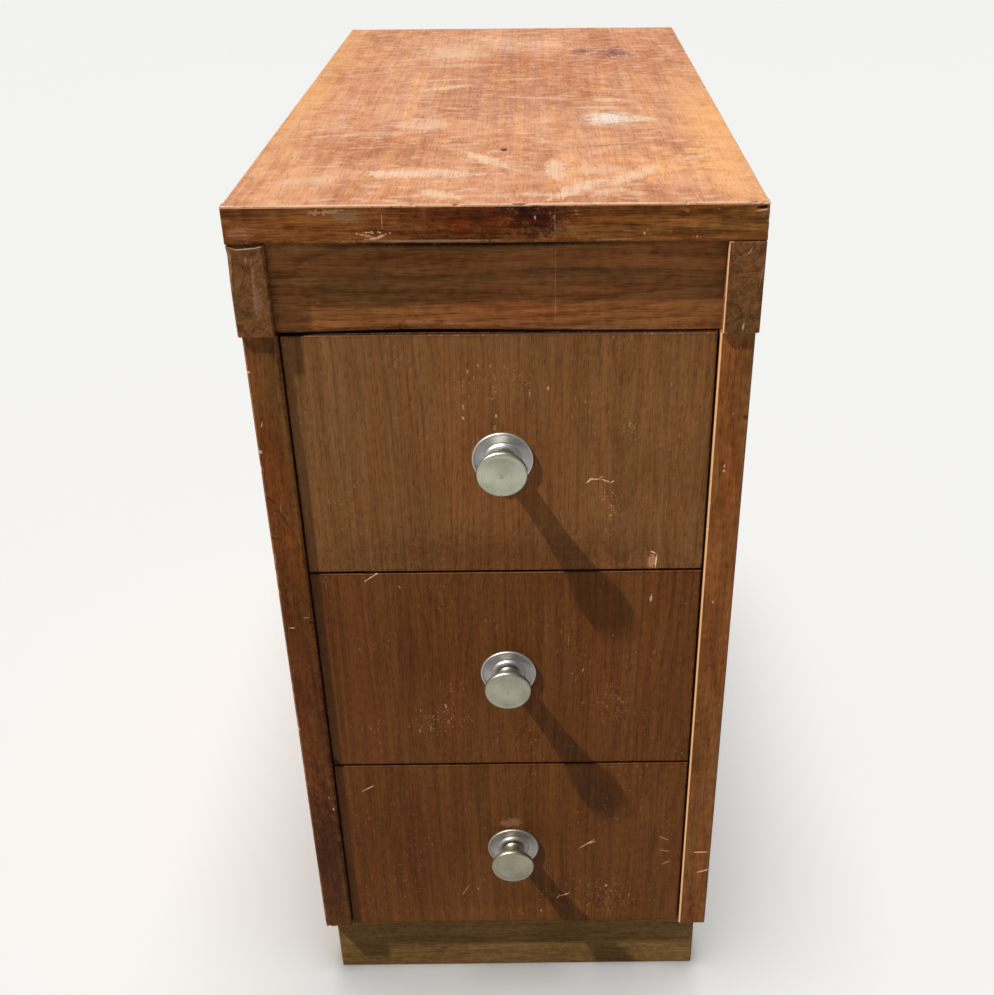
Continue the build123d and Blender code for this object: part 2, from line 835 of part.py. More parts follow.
    with BuildPart() as knob_plate:
        with BuildSketch(knob_plane):
            Polygon(
                (bore_radius, 0),
                (plate_radius, 0),
                (plate_radius, plate_rim_height),
                (plate_radius - plate_rim_width, plate_dish_height),
                (collar_foot_radius, plate_dish_height),
                (collar_top_radius, collar_height),
                (bore_radius, collar_height),
                align=None,
            )
        revolve(axis=knob_axis)
    save(knob_plate, f"drawer_{number}_knob_plate")

    with BuildPart() as knob:
        with BuildSketch(knob_plane):
            with BuildLine():
                bore_end = collar_height + knob_bore_depth
                waist = (knob_neck_radius + knob_waist_flare, knob_waist_height)
                under_edge = (knob_under_radius, knob_head_low)
                ThreePointArc((knob_neck_radius, collar_height), waist, under_edge)
                Polyline(
                    under_edge,
                    (knob_head_radius, knob_rim_low),
                    (knob_head_radius, knob_face_height - knob_face_rounding),
                    (knob_head_radius - knob_face_rounding, knob_face_height),
                    (knob_dimple_radius, knob_tip_height),
                    (0, knob_tip_height - knob_dimple_depth),
                    (0, bore_end),
                    (bore_radius, bore_end),
                    (bore_radius, collar_height),
                    (knob_neck_radius, collar_height),
                )
            make_face()
        revolve(axis=knob_axis)
    save(knob, f"drawer_{number}_knob")

    with BuildPart() as knob_screw:
        with BuildSketch(knob_plane):
            rectangle_between(
                (0, -drawer_front_thickness),
                (knob_screw_radius, collar_height + knob_screw_reach),
            )
            rectangle_between(
                (0, -drawer_front_thickness - knob_screw_head_height),
                (knob_screw_head_radius, -drawer_front_thickness),
            )
        revolve(axis=knob_axis)
    save(knob_screw, f"drawer_{number}_knob_screw")
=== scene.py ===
"""The looks of a worn wooden pedestal with three side-hung drawers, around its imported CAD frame.

Metres, +Z up, front towards -Y, the floor at height 0. Boards that show are copies of their CAD
nodes with worn arrises, knobs and back plates are turned afresh, and the fasteners are set by
Geometry Nodes. Every pattern reads Object coordinates, so it stays with its piece.
"""

import json
import logging
import math
from dataclasses import dataclass, replace
from enum import Enum
from functools import cached_property
from typing import Any, ClassVar, Sequence

import bmesh
import bpy
from mathutils import Matrix, Vector, noise

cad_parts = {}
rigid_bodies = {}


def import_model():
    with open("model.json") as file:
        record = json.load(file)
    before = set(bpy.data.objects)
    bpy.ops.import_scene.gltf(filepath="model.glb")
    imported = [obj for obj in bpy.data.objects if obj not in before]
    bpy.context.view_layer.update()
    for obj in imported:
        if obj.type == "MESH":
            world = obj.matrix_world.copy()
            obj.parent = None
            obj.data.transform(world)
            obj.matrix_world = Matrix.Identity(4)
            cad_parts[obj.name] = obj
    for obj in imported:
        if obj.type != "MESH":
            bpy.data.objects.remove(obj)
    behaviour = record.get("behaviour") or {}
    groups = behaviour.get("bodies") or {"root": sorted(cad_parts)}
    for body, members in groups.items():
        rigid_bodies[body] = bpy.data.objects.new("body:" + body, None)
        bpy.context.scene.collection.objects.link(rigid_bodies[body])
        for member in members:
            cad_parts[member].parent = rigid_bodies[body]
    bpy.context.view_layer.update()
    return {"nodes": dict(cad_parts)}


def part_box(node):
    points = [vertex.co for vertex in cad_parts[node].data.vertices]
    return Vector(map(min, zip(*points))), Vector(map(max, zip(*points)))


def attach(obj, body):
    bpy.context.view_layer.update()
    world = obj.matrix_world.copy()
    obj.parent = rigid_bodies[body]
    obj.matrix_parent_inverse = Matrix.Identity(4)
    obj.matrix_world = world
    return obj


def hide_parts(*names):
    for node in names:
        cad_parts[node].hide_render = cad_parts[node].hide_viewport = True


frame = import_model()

IMAGE_SIZE = (994, 995)
MERGE_DISTANCE = 1e-6
FLAT_ANGLE = math.radians(0.5)
PLANE_TOLERANCE = 2e-5
WHOLE_TURN = 2 * math.pi
NOISE_MIDDLE = 0.5
WEAR = "wear"
SEED_WAYS = (1.0, 1.7, 2.3)

log = logging.getLogger("pedestal")

Colour = tuple[float, float, float, float]
Triple = tuple[float, float, float]


def shade(red: float, green: float, blue: float) -> Colour:
    """Give a linear colour with full alpha."""
    return (red, green, blue, 1.0)


class Grain(Enum):
    """The axis along which a board's grain runs."""

    X = 0
    Y = 1
    Z = 2


class Signal:
    """An output socket that takes part in sums, products and powers."""

    def __init__(self, graph: "Graph", socket: bpy.types.NodeSocket | None) -> None:
        """Keep the socket and the graph that it belongs to."""
        self.graph = graph
        self.socket = socket

    def __add__(self, other: "Value") -> "Signal":
        """Add a number or signal."""
        return self.graph.math("ADD", self, other)

    def __sub__(self, other: "Value") -> "Signal":
        """Subtract a number or signal."""
        return self.graph.math("SUBTRACT", self, other)

    def __rsub__(self, other: "Value") -> "Signal":
        """Subtract this signal from a number."""
        return self.graph.math("SUBTRACT", other, self)

    def __mul__(self, other: "Value") -> "Signal":
        """Multiply by a number or signal."""
        return self.graph.math("MULTIPLY", self, other)

    def __truediv__(self, other: "Value") -> "Signal":
        """Divide by a number or signal."""
        return self.graph.math("DIVIDE", self, other)

    def __pow__(self, other: "Value") -> "Signal":
        """Raise to a power."""
        return self.graph.math("POWER", self, other)

    def __mod__(self, other: "Value") -> "Signal":
        """Give the remainder of a division."""
        return self.graph.math("MODULO", self, other)

    __radd__ = __add__
    __rmul__ = __mul__

    @property
    def centred(self) -> "Signal":
        """Shift noise around one half to noise around nought."""
        return self - NOISE_MIDDLE

    def at_most(self, other: "Value") -> "Signal":
        """Give the lower of this and another value."""
        return self.graph.math("MINIMUM", self, other)

    def at_least(self, other: "Value") -> "Signal":
        """Give the higher of this and another value."""
        return self.graph.math("MAXIMUM", self, other)

    def rise(self, low: float, high: float) -> "Signal":
        """Go smoothly from 0 at the first value to 1 at the second.

        Args:
            low: The value where the result is 0.
            high: The value where the result is 1.

        Returns:
            A signal between 0 and 1.
        """
        return self.graph.node(
            "ShaderNodeMapRange",
            {"interpolation_type": "SMOOTHSTEP"},
            {"Value": self, "From Min": low, "From Max": high},
        )


Value = float | Signal


class Graph:
    """A node tree whose nodes all come from one method."""

    def __init__(self, tree: bpy.types.NodeTree) -> None:
        """Keep the tree that the nodes go into."""
        self.tree = tree

    def node(
        self,
        kind: str,
        settings: dict[str, Any] | None = None,
        sockets: dict[str | int, Any] | None = None,
        output: str | int = 0,
    ) -> Signal:
        """Add a node, set it up and feed its sockets.

        Args:
            kind: The node's type.
            settings: The node's properties, set before its sockets.
            sockets: Values or signals for its inputs, by name or number.
            output: The output to hand back, by name or number.

        Returns:
            The chosen output, or an empty signal where the node ends the tree.
        """
        made = self.tree.nodes.new(kind)
        for name, value in (settings or {}).items():
            setattr(made, name, value)
        for key, value in (sockets or {}).items():
            if isinstance(value, Signal):
                self.tree.links.new(value.socket, made.inputs[key])
            else:
                made.inputs[key].default_value = value
        return Signal(self, made.outputs[output] if made.outputs else None)

    def math(self, operation: str, first: Value, second: Value) -> Signal:
        """Combine two numbers or signals."""
        return self.node("ShaderNodeMath", {"operation": operation}, {0: first, 1: second})

    def vector(self, operation: str, sockets: dict[int, Any], output: str = "Vector") -> Signal:
        """Combine vectors, and hand back the named output."""
        return self.node("ShaderNodeVectorMath", {"operation": operation}, sockets, output)

    def mix(self, factor: Value, first: Any, second: Any) -> Signal:
        """Mix two colours by a factor."""
        return self.node("ShaderNodeMix", {"data_type": "RGBA"}, {0: factor, 6: first, 7: second}, 2)

    def tint(self, factor: Value, first: Any, second: Any) -> Signal:
        """Multiply a colour by another by a factor."""
        settings = {"data_type": "RGBA", "blend_type": "MULTIPLY"}
        return self.node("ShaderNodeMix", settings, {0: factor, 6: first, 7: second}, 2)

    def part(self, vector: Signal, axis: int) -> Signal:
        """Take one component of a vector."""
        return self.node("ShaderNodeSeparateXYZ", None, {0: vector}, axis)

    def noise(self, place: Signal, scale: Triple, seed: float, detail: float = 2.0) -> Signal:
        """Sample noise that is stretched along the axes.

        Args:
            place: The place on the piece, in metres.
            scale: Waves per metre along each axis.
            seed: A shift that gives another pattern.
            detail: How many finer layers are added.

        Returns:
            A signal around one half.
        """
        offset = tuple(seed * way for way in SEED_WAYS)
        spread = self.vector("MULTIPLY_ADD", {0: place, 1: scale, 2: offset})
        return self.node(
            "ShaderNodeTexNoise",
            {"noise_dimensions": "3D"},
            {"Vector": spread, "Scale": 1.0, "Detail": detail},
            "Fac",
        )

    def even_noise(self, place: Signal, waves: float, seed: float, detail: float) -> Signal:
        """Sample noise that has the same size along every axis."""
        return self.noise(place, (waves,) * 3, seed, detail)

    def material_place(self) -> Signal:
        """Give the place on the piece, in metres, inside a material."""
        return self.node("ShaderNodeTexCoord", None, None, "Object")


class Blend(Enum):
    """How a mark changes the colour under it."""

    COVER = "cover"
    TINT = "tint"


BREAK_RANGE = (0.44, 0.6)


@dataclass(frozen=True)
class Mark:
    """A stain, scratch or bare patch: an ellipsoid or pointed leaf on the surface with a ragged rim."""

    centre: Triple
    radii: Triple
    colour: Colour
    strength: float = 1.0
    turn: Triple = (0.0, 0.0, 0.0)
    ragged: float = 0.5
    gritty: float = 0.6
    softness: float = 0.5
    streaks: float = 0.0
    broken: float = 0.0
    pointed: bool = False
    blend: Blend = Blend.COVER

    def mask(self, graph: Graph, place: Signal, crumble: Signal, grit: Signal, lines: Signal) -> Signal:
        """Give how strongly the mark covers the surface.

        Args:
            graph: The material's graph.
            place: The place on the piece, in metres.
            crumble: Noise around one half that breaks up the rim.
            grit: Finer noise around one half that frays it.
            lines: Noise around one half along the grain.

        Returns:
            A signal between 0 and the mark's strength.
        """
        settings = {"vector_type": "TEXTURE"}
        sockets = {
            "Vector": place,
            "Location": self.centre,
            "Rotation": tuple(math.radians(angle) for angle in self.turn),
            "Scale": self.radii,
        }
        local = graph.node("ShaderNodeMapping", settings, sockets)
        if self.pointed:
            away = graph.vector("ABSOLUTE", {0: local})
            reach = graph.part(away, 0) ** 2 + graph.part(away, 1) + graph.part(away, 2)
        else:
            reach = graph.vector("LENGTH", {0: local}, "Value")
        reach = reach + crumble.centred * (2 * self.ragged) + grit.centred * (2 * self.gritty)
        if self.streaks:
            reach = reach + lines.centred * (2 * self.streaks)
        cover = reach.rise(1.0, 1.0 - self.softness) * self.strength
        if self.broken:
            cover = cover * (1 - lines.rise(*BREAK_RANGE) * self.broken)
        return cover

    def lay(self, graph: Graph, cover: Signal, colour: Signal) -> Signal:
        """Change the colour under the mark."""
        change = graph.mix if self.blend is Blend.COVER else graph.tint
        return change(cover, colour, self.colour)


@dataclass(frozen=True)
class Finish:
    """A material that knows its record slot and is built once."""

    name: str
    slot: str
    _made: ClassVar[dict[str, bpy.types.Material]] = {}

    def material(self) -> bpy.types.Material:
        """Build the material, or give the one that was built before."""
        if self.name not in self._made:
            made = bpy.data.materials.new(self.name)
            made.use_nodes = True
            made.node_tree.nodes.clear()
            graph = Graph(made.node_tree)
            shader = self.shader(graph)
            graph.node("ShaderNodeOutputMaterial", None, {"Surface": shader})
            self._made[self.name] = made
        return self._made[self.name]

    def shader(self, graph: Graph) -> Signal:
        """Build the nodes, and give the shader."""
        raise NotImplementedError


@dataclass(frozen=True)
class Streak:
    """Light and dark streaks of one size along the grain."""

    width: float
    length: float
    contrast: float
    detail: float = 1.0


@dataclass(frozen=True)
class Rings:
    """Growth lines that darken slowly and end sharply, where a board cuts through the years."""

    width: float
    length: float
    count: float
    contrast: float


# The wood's patterns along the grain: their width and length in metres.
SWAY_SIZE = (0.09, 0.28)
HUE_SIZE = (0.013, 0.16)
FLECK_SIZE = (0.0017, 0.0042)
PORE_SIZE = (0.0012, 0.009)
CUT_SIZE = (0.055, 0.0026)

# The patterns without a grain: their waves per metre.
CLOUD_WAVES = 9.0
CLUSTER_WAVES = 26.0
CRUMBLE_WAVES = 160.0
GRIT_WAVES = 560.0
RUB_WAVES = (70.0, 150.0, 90.0)

# How far each pattern's seed is from its wood's own.
STREAK_SEED = 2.9
PORE_SEED = 7.3
CLOUD_SEED = 11.9
CRUMBLE_SEED = 13.7
GRIT_SEED = 14.9
CLUSTER_SEED = 17.3
FLECK_SEED = 19.1
RUB_SEED = 23.9
RING_SEED = 29.3
MOTTLE_SEED = 31.7
HUE_SEED = 37.1

# Where each pattern's noise starts to show, and where it shows in full.
STREAK_RANGE = (0.3, 0.7)
HUE_RANGE = (0.36, 0.64)
BLUSH_RANGE = (0.4, 0.64)
LATE_RANGE = (0.35, 0.93)
LATE_END = (1.0, 0.93)
PORE_RANGE = (0.6, 0.7)
CLUSTER_RANGE = (0.5, 0.66)
FLECK_RANGE = (0.64, 0.80)
RUB_RANGE = (0.5, 0.68)
RUB_CLOUD_RANGE = (0.3, 0.62)
CUT_RANGE = (0.66, 0.76)
WEAR_RANGE = (0.62, 0.82)

# The growth lines' mean, the flecks outside their clusters, and what wear adds to its noise.
LATE_MEAN = 0.3
LONE_FLECKS = 0.15
WEAR_LIFT = 0.4

# What the patterns add to the roughness and to the relief.
CLOUD_ROUGHNESS = 0.25
STREAK_ROUGHNESS = 0.15
RUB_ROUGHNESS = 0.15
STREAK_RELIEF = 0.8
PORE_RELIEF = 0.8
LATE_RELIEF = 0.3
CRUMBLE_RELIEF = 0.3
WOOD_RELIEF_DEPTH = 0.0004
WOOD_SHINE = 0.06
CUT_ANGLES = (9.0, -17.0)
PORE_TINT = shade(0.35, 0.28, 0.22)
EDGE_DARK_TINT = shade(0.3, 0.24, 0.2)


@dataclass(frozen=True)
class WoodFinish(Finish):
    """Wood with streaks, growth lines, pores, patches, worn arrises and marks."""

    grain: Grain
    deep: Colour
    fair: Colour
    bare: Colour
    blush: Colour
    warmth: Colour
    seed: float
    streaks: tuple[Streak, ...]
    rings: Rings
    mottle_size: float = 0.007
    mottle: float = 0.2
    pore_depth: float = 0.35
    fleck_share: float = 0.0
    fleck_colour: Colour = (0.5, 0.3, 0.15, 1.0)
    scuff_share: float = 0.0
    scratch_share: float = 0.0
    wobble: float = 0.004
    roughness: float = 0.5
    bump: float = 0.3
    marks: tuple[Mark, ...] = ()
    grime_box: tuple[Triple, Triple] | None = None
    grime_reach: float = 0.01
    grime: float = 0.5

    def along(self, across: float, lengthwise: float) -> Triple:
        """Give waves per metre from a pattern's width and length."""
        scale = [1 / across] * 3
        scale[self.grain.value] = 1 / lengthwise
        return tuple(scale)

    def bent_place(self, graph: Graph, place: Signal) -> Signal:
        """Bend the place sideways, so that the grain wavers."""
        sockets = {0: place, 1: self.along(*SWAY_SIZE), 2: (self.seed,) * 3}
        spread = graph.vector("MULTIPLY_ADD", sockets)
        sway = graph.node(
            "ShaderNodeTexNoise", None, {"Vector": spread, "Scale": 1.0, "Detail": 1.0}, "Color"
        )
        amount = [2 * self.wobble] * 3
        amount[self.grain.value] = 0.0
        centred = graph.vector("SUBTRACT", {0: sway, 1: (NOISE_MIDDLE,) * 3})
        return graph.vector("MULTIPLY_ADD", {0: centred, 1: tuple(amount), 2: place})

    def edge_darkening(self, graph: Graph, place: Signal, crumble: Signal) -> Signal:
        """Give how much the piece is darkened near the edges of its face."""
        low, high = (Vector(corner) for corner in self.grime_box)
        centre, half = (low + high) / 2, (high - low) / 2
        offset = graph.vector("SUBTRACT", {0: place, 1: tuple(centre)})
        outward = graph.vector("ABSOLUTE", {0: offset})
        room = graph.vector("SUBTRACT", {0: tuple(half), 1: outward})
        thin = min(range(3), key=lambda axis: half[axis])
        gaps = [graph.part(room, axis) for axis in range(3) if axis != thin]
        nearest = gaps[0].at_most(gaps[1]) + crumble.centred * self.grime_reach
        return nearest.rise(self.grime_reach, 0.0) * self.grime

    def scratched(self, graph: Graph, place: Signal, angle: float) -> Signal:
        """Give fine scratches across the grain, turned by an angle in degrees."""
        turn = [0.0, 0.0, 0.0]
        turn[1 if self.grain is Grain.Z else 2] = math.radians(angle)
        sockets = {"Vector": place, "Rotation": tuple(turn)}
        turned = graph.node("ShaderNodeMapping", {"vector_type": "POINT"}, sockets)
        return graph.noise(turned, self.along(*CUT_SIZE), self.seed + angle, 1.0).rise(*CUT_RANGE)

    def shader(self, graph: Graph) -> Signal:
        """Build the wood's nodes, and give the shader."""
        place = graph.material_place()
        bent = self.bent_place(graph, place)
        seed = self.seed
        tone: Value = 0.5
        fine = bent
        for index, streak in enumerate(self.streaks):
            size = self.along(streak.width, streak.length)
            fine = graph.noise(bent, size, seed + STREAK_SEED * (index + 1), streak.detail)
            tone = fine.rise(*STREAK_RANGE).centred * streak.contrast + tone
        ring_size = self.along(self.rings.width, self.rings.length)
        year = (graph.noise(bent, ring_size, seed + RING_SEED, 1.0) * self.rings.count) % 1.0
        late = year.rise(*LATE_RANGE) * year.rise(*LATE_END)
        pore = graph.noise(bent, self.along(*PORE_SIZE), seed + PORE_SEED, 0.0).rise(*PORE_RANGE)
        cloud = graph.even_noise(place, CLOUD_WAVES, seed + CLOUD_SEED, 3.0)
        hue = graph.noise(bent, self.along(*HUE_SIZE), seed + HUE_SEED, 2.0).rise(*HUE_RANGE)
        mottle = graph.even_noise(place, 1 / self.mottle_size, seed + MOTTLE_SEED, 2.0)
        crumble = graph.even_noise(place, CRUMBLE_WAVES, seed + CRUMBLE_SEED, 4.0)
        grit = graph.even_noise(place, GRIT_WAVES, seed + GRIT_SEED, 3.0)

        tone = tone - (late - LATE_MEAN) * self.rings.contrast
        tone = tone + mottle.rise(*STREAK_RANGE).centred * self.mottle
        colour = graph.mix(tone, self.deep, self.fair)
        colour = graph.tint(cloud.rise(*BLUSH_RANGE), colour, self.blush)
        colour = graph.tint(hue, colour, self.warmth)
        colour = graph.tint(pore * self.pore_depth, colour, PORE_TINT)
        rough = cloud.centred * CLOUD_ROUGHNESS + fine.centred * STREAK_ROUGHNESS + self.roughness

        if self.fleck_share:
            cluster = graph.even_noise(place, CLUSTER_WAVES, seed + CLUSTER_SEED, 2.0)
            density = cluster.rise(*CLUSTER_RANGE) * (1 - LONE_FLECKS) + LONE_FLECKS
            fleck = graph.noise(place, self.along(*FLECK_SIZE), seed + FLECK_SEED, 1.0)
            fleck = fleck.rise(*FLECK_RANGE) * density * self.fleck_share
            colour = graph.mix(fleck, colour, self.fleck_colour)
        if self.scuff_share:
            rub = graph.noise(place, RUB_WAVES, seed + RUB_SEED, 4.0).rise(*RUB_RANGE)
            rub = rub * cloud.rise(*RUB_CLOUD_RANGE) * self.scuff_share
            colour = graph.mix(rub, colour, self.bare)
            rough = rough + rub * RUB_ROUGHNESS
        if self.scratch_share:
            first, second = (self.scratched(graph, place, angle) for angle in CUT_ANGLES)
            colour = graph.mix(first.at_least(second) * self.scratch_share, colour, self.bare)
        for mark in self.marks:
            colour = mark.lay(graph, mark.mask(graph, place, crumble, grit, fine), colour)
        # Darker towards the edges of the face.
        if self.grime_box:
            colour = graph.tint(self.edge_darkening(graph, place, crumble), colour, EDGE_DARK_TINT)
        worn = graph.node("ShaderNodeAttribute", {"attribute_name": WEAR}, None, "Fac")
        worn = (worn * WEAR_LIFT + (crumble + grit) * 0.5).rise(*WEAR_RANGE) * worn
        colour = graph.mix(worn, colour, self.bare)

        relief = fine * STREAK_RELIEF - pore * PORE_RELIEF
        relief = relief - late * LATE_RELIEF + crumble * CRUMBLE_RELIEF
        sockets = {"Strength": self.bump, "Distance": WOOD_RELIEF_DEPTH, "Height": relief}
        normal = graph.node("ShaderNodeBump", None, sockets)
        return graph.node(
            "ShaderNodeBsdfPrincipled",
            None,
            {
                "Base Color": colour,
                "Roughness": rough,
                "Normal": normal,
                "Specular IOR Level": WOOD_SHINE,
            },
        )


# The metal's patterns: their waves per metre, and where they start and stop coming up.
TARNISH_WAVES = 70.0
PIT_WAVES = 620.0
PIT_SEED = 2.9
PIT_RANGE = (0.62, 0.72)
SPOT_RANGE = (0.45, 0.6)
LATHE_WAVES = 1100.0
LATHE_RANGE = (0.35, 0.65)

# What the metal's clouds, turned rings and pits add to its tarnish, roughness and relief.
CLOUD_TARNISH = 0.7
RING_TARNISH = 0.3
RING_ROUGHNESS = 0.2
PIT_ROUGHNESS = 0.2
RING_RELIEF = 0.9
PIT_RELIEF = 0.4
CLOUD_RELIEF = 0.3
METAL_RELIEF_DEPTH = 0.0003


@dataclass(frozen=True)
class MetalFinish(Finish):
    """Aged plated metal with tarnish, spots and turned rings round an axis along Y."""

    bright: Colour
    dull: Colour
    spots: Colour
    roughness: float
    spot_share: float = 0.35
    centre: Triple = (0.0, 0.0, 0.0)
    seed: float = 0.0
    metallic: float = 1.0
    bump: float = 0.2

    def shader(self, graph: Graph) -> Signal:
        """Build the metal's nodes, and give the shader."""
        place = graph.material_place()
        cloud = graph.even_noise(place, TARNISH_WAVES, self.seed, 3.0)
        pit = graph.even_noise(place, PIT_WAVES, self.seed + PIT_SEED, 2.0).rise(*PIT_RANGE)
        offset = graph.vector("SUBTRACT", {0: place, 1: self.centre})
        flat = graph.vector("MULTIPLY", {0: offset, 1: (1.0, 0.0, 1.0)})
        radius = graph.vector("LENGTH", {0: flat}, "Value")
        rings = graph.node(
            "ShaderNodeTexNoise",
            {"noise_dimensions": "1D"},
            {"W": radius * LATHE_WAVES, "Scale": 1.0, "Detail": 1.0},
            "Fac",
        )
        tarnish = cloud.rise(*STREAK_RANGE) * CLOUD_TARNISH + rings.rise(*LATHE_RANGE) * RING_TARNISH
        colour = graph.mix(tarnish, self.bright, self.dull)
        colour = graph.mix(pit * cloud.rise(*SPOT_RANGE) * self.spot_share, colour, self.spots)
        rough = cloud.centred * CLOUD_ROUGHNESS + rings.centred * RING_ROUGHNESS
        rough = rough + pit * PIT_ROUGHNESS + self.roughness
        relief = rings * RING_RELIEF - pit * PIT_RELIEF + cloud * CLOUD_RELIEF
        sockets = {"Strength": self.bump, "Distance": METAL_RELIEF_DEPTH, "Height": relief}
        normal = graph.node("ShaderNodeBump", None, sockets)
        return graph.node(
            "ShaderNodeBsdfPrincipled",
            None,
            {"Base Color": colour, "Roughness": rough, "Normal": normal, "Metallic": self.metallic},
        )


@dataclass(frozen=True)
class FloorFinish(Finish):
    """A plain pale studio floor."""

    colour: Colour
    roughness: float = 0.85
    unevenness: float = 0.1
    waves: float = 1.5
    seed: float = 4.2

    def shader(self, graph: Graph) -> Signal:
        """Build the floor's nodes, and give the shader."""
        cloud = graph.even_noise(graph.material_place(), self.waves, self.seed, 3.0)
        rough = cloud.centred * self.unevenness + self.roughness
        sockets = {"Base Color": self.colour, "Roughness": rough}
        return graph.node("ShaderNodeBsdfPrincipled", None, sockets)


def hand_over(piece: bpy.types.Object, body: str, slot: str, *nodes: str) -> None:
    """Tie a finished piece to its body, and hide the CAD nodes that it stands for.

    Args:
        piece: The finished piece.
        body: The CAD body that it moves with.
        slot: The record's material slot, which is not used.
        nodes: The CAD nodes that it replaces.
    """
    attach(piece, body)
    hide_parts(*nodes)
    log.info("%s rides on %s, %d faces", piece.name, body, len(piece.data.polygons))


def new_piece(name: str, mesh: bpy.types.Mesh) -> bpy.types.Object:
    """Make an object at the origin from a finished mesh."""
    piece = bpy.data.objects.new(name, mesh)
    bpy.context.scene.collection.objects.link(piece)
    return piece


# How much of a length lies along one axis in a straight edge, and in the normal of a square face.
STRAIGHT = 0.99
SQUARE = 0.999

# How squarely a face must look to one side to take that side's finish.
FACE_LEAN = 0.5

# How far an arris face's middle may be from the planes beside it.
ARRIS_REACH = 0.004

# The fewest steps that an edge is cut into, and how near to its ends the cuts may come, in steps.
FEWEST_STEPS = 4
END_STEP = 0.5

# A corner's push: its least lean, its share of the way to a neighbour, and its room near an end.
LEAST_LEAN = 0.05
NEIGHBOUR_SHARE = 0.4
END_DEPTH = 0.0001
END_SLOPE = 0.25

# The noise of the wear: waves per metre of its three layers, and their weights in the chips.
WEAR_WAVES = (24, 140, 520)
CHIP_WEIGHTS = (0.5, 0.7, 0.4)


@dataclass(frozen=True)
class Nick:
    """A place where an arris is knocked back further."""

    place: Triple
    radius: float
    depth: float

    def depth_at(self, place: Vector) -> float:
        """Give how far the arris is pushed back at a place."""
        share = max(0.0, 1 - (place - Vector(self.place)).length / self.radius)
        return self.depth * share * share * (3 - 2 * share)


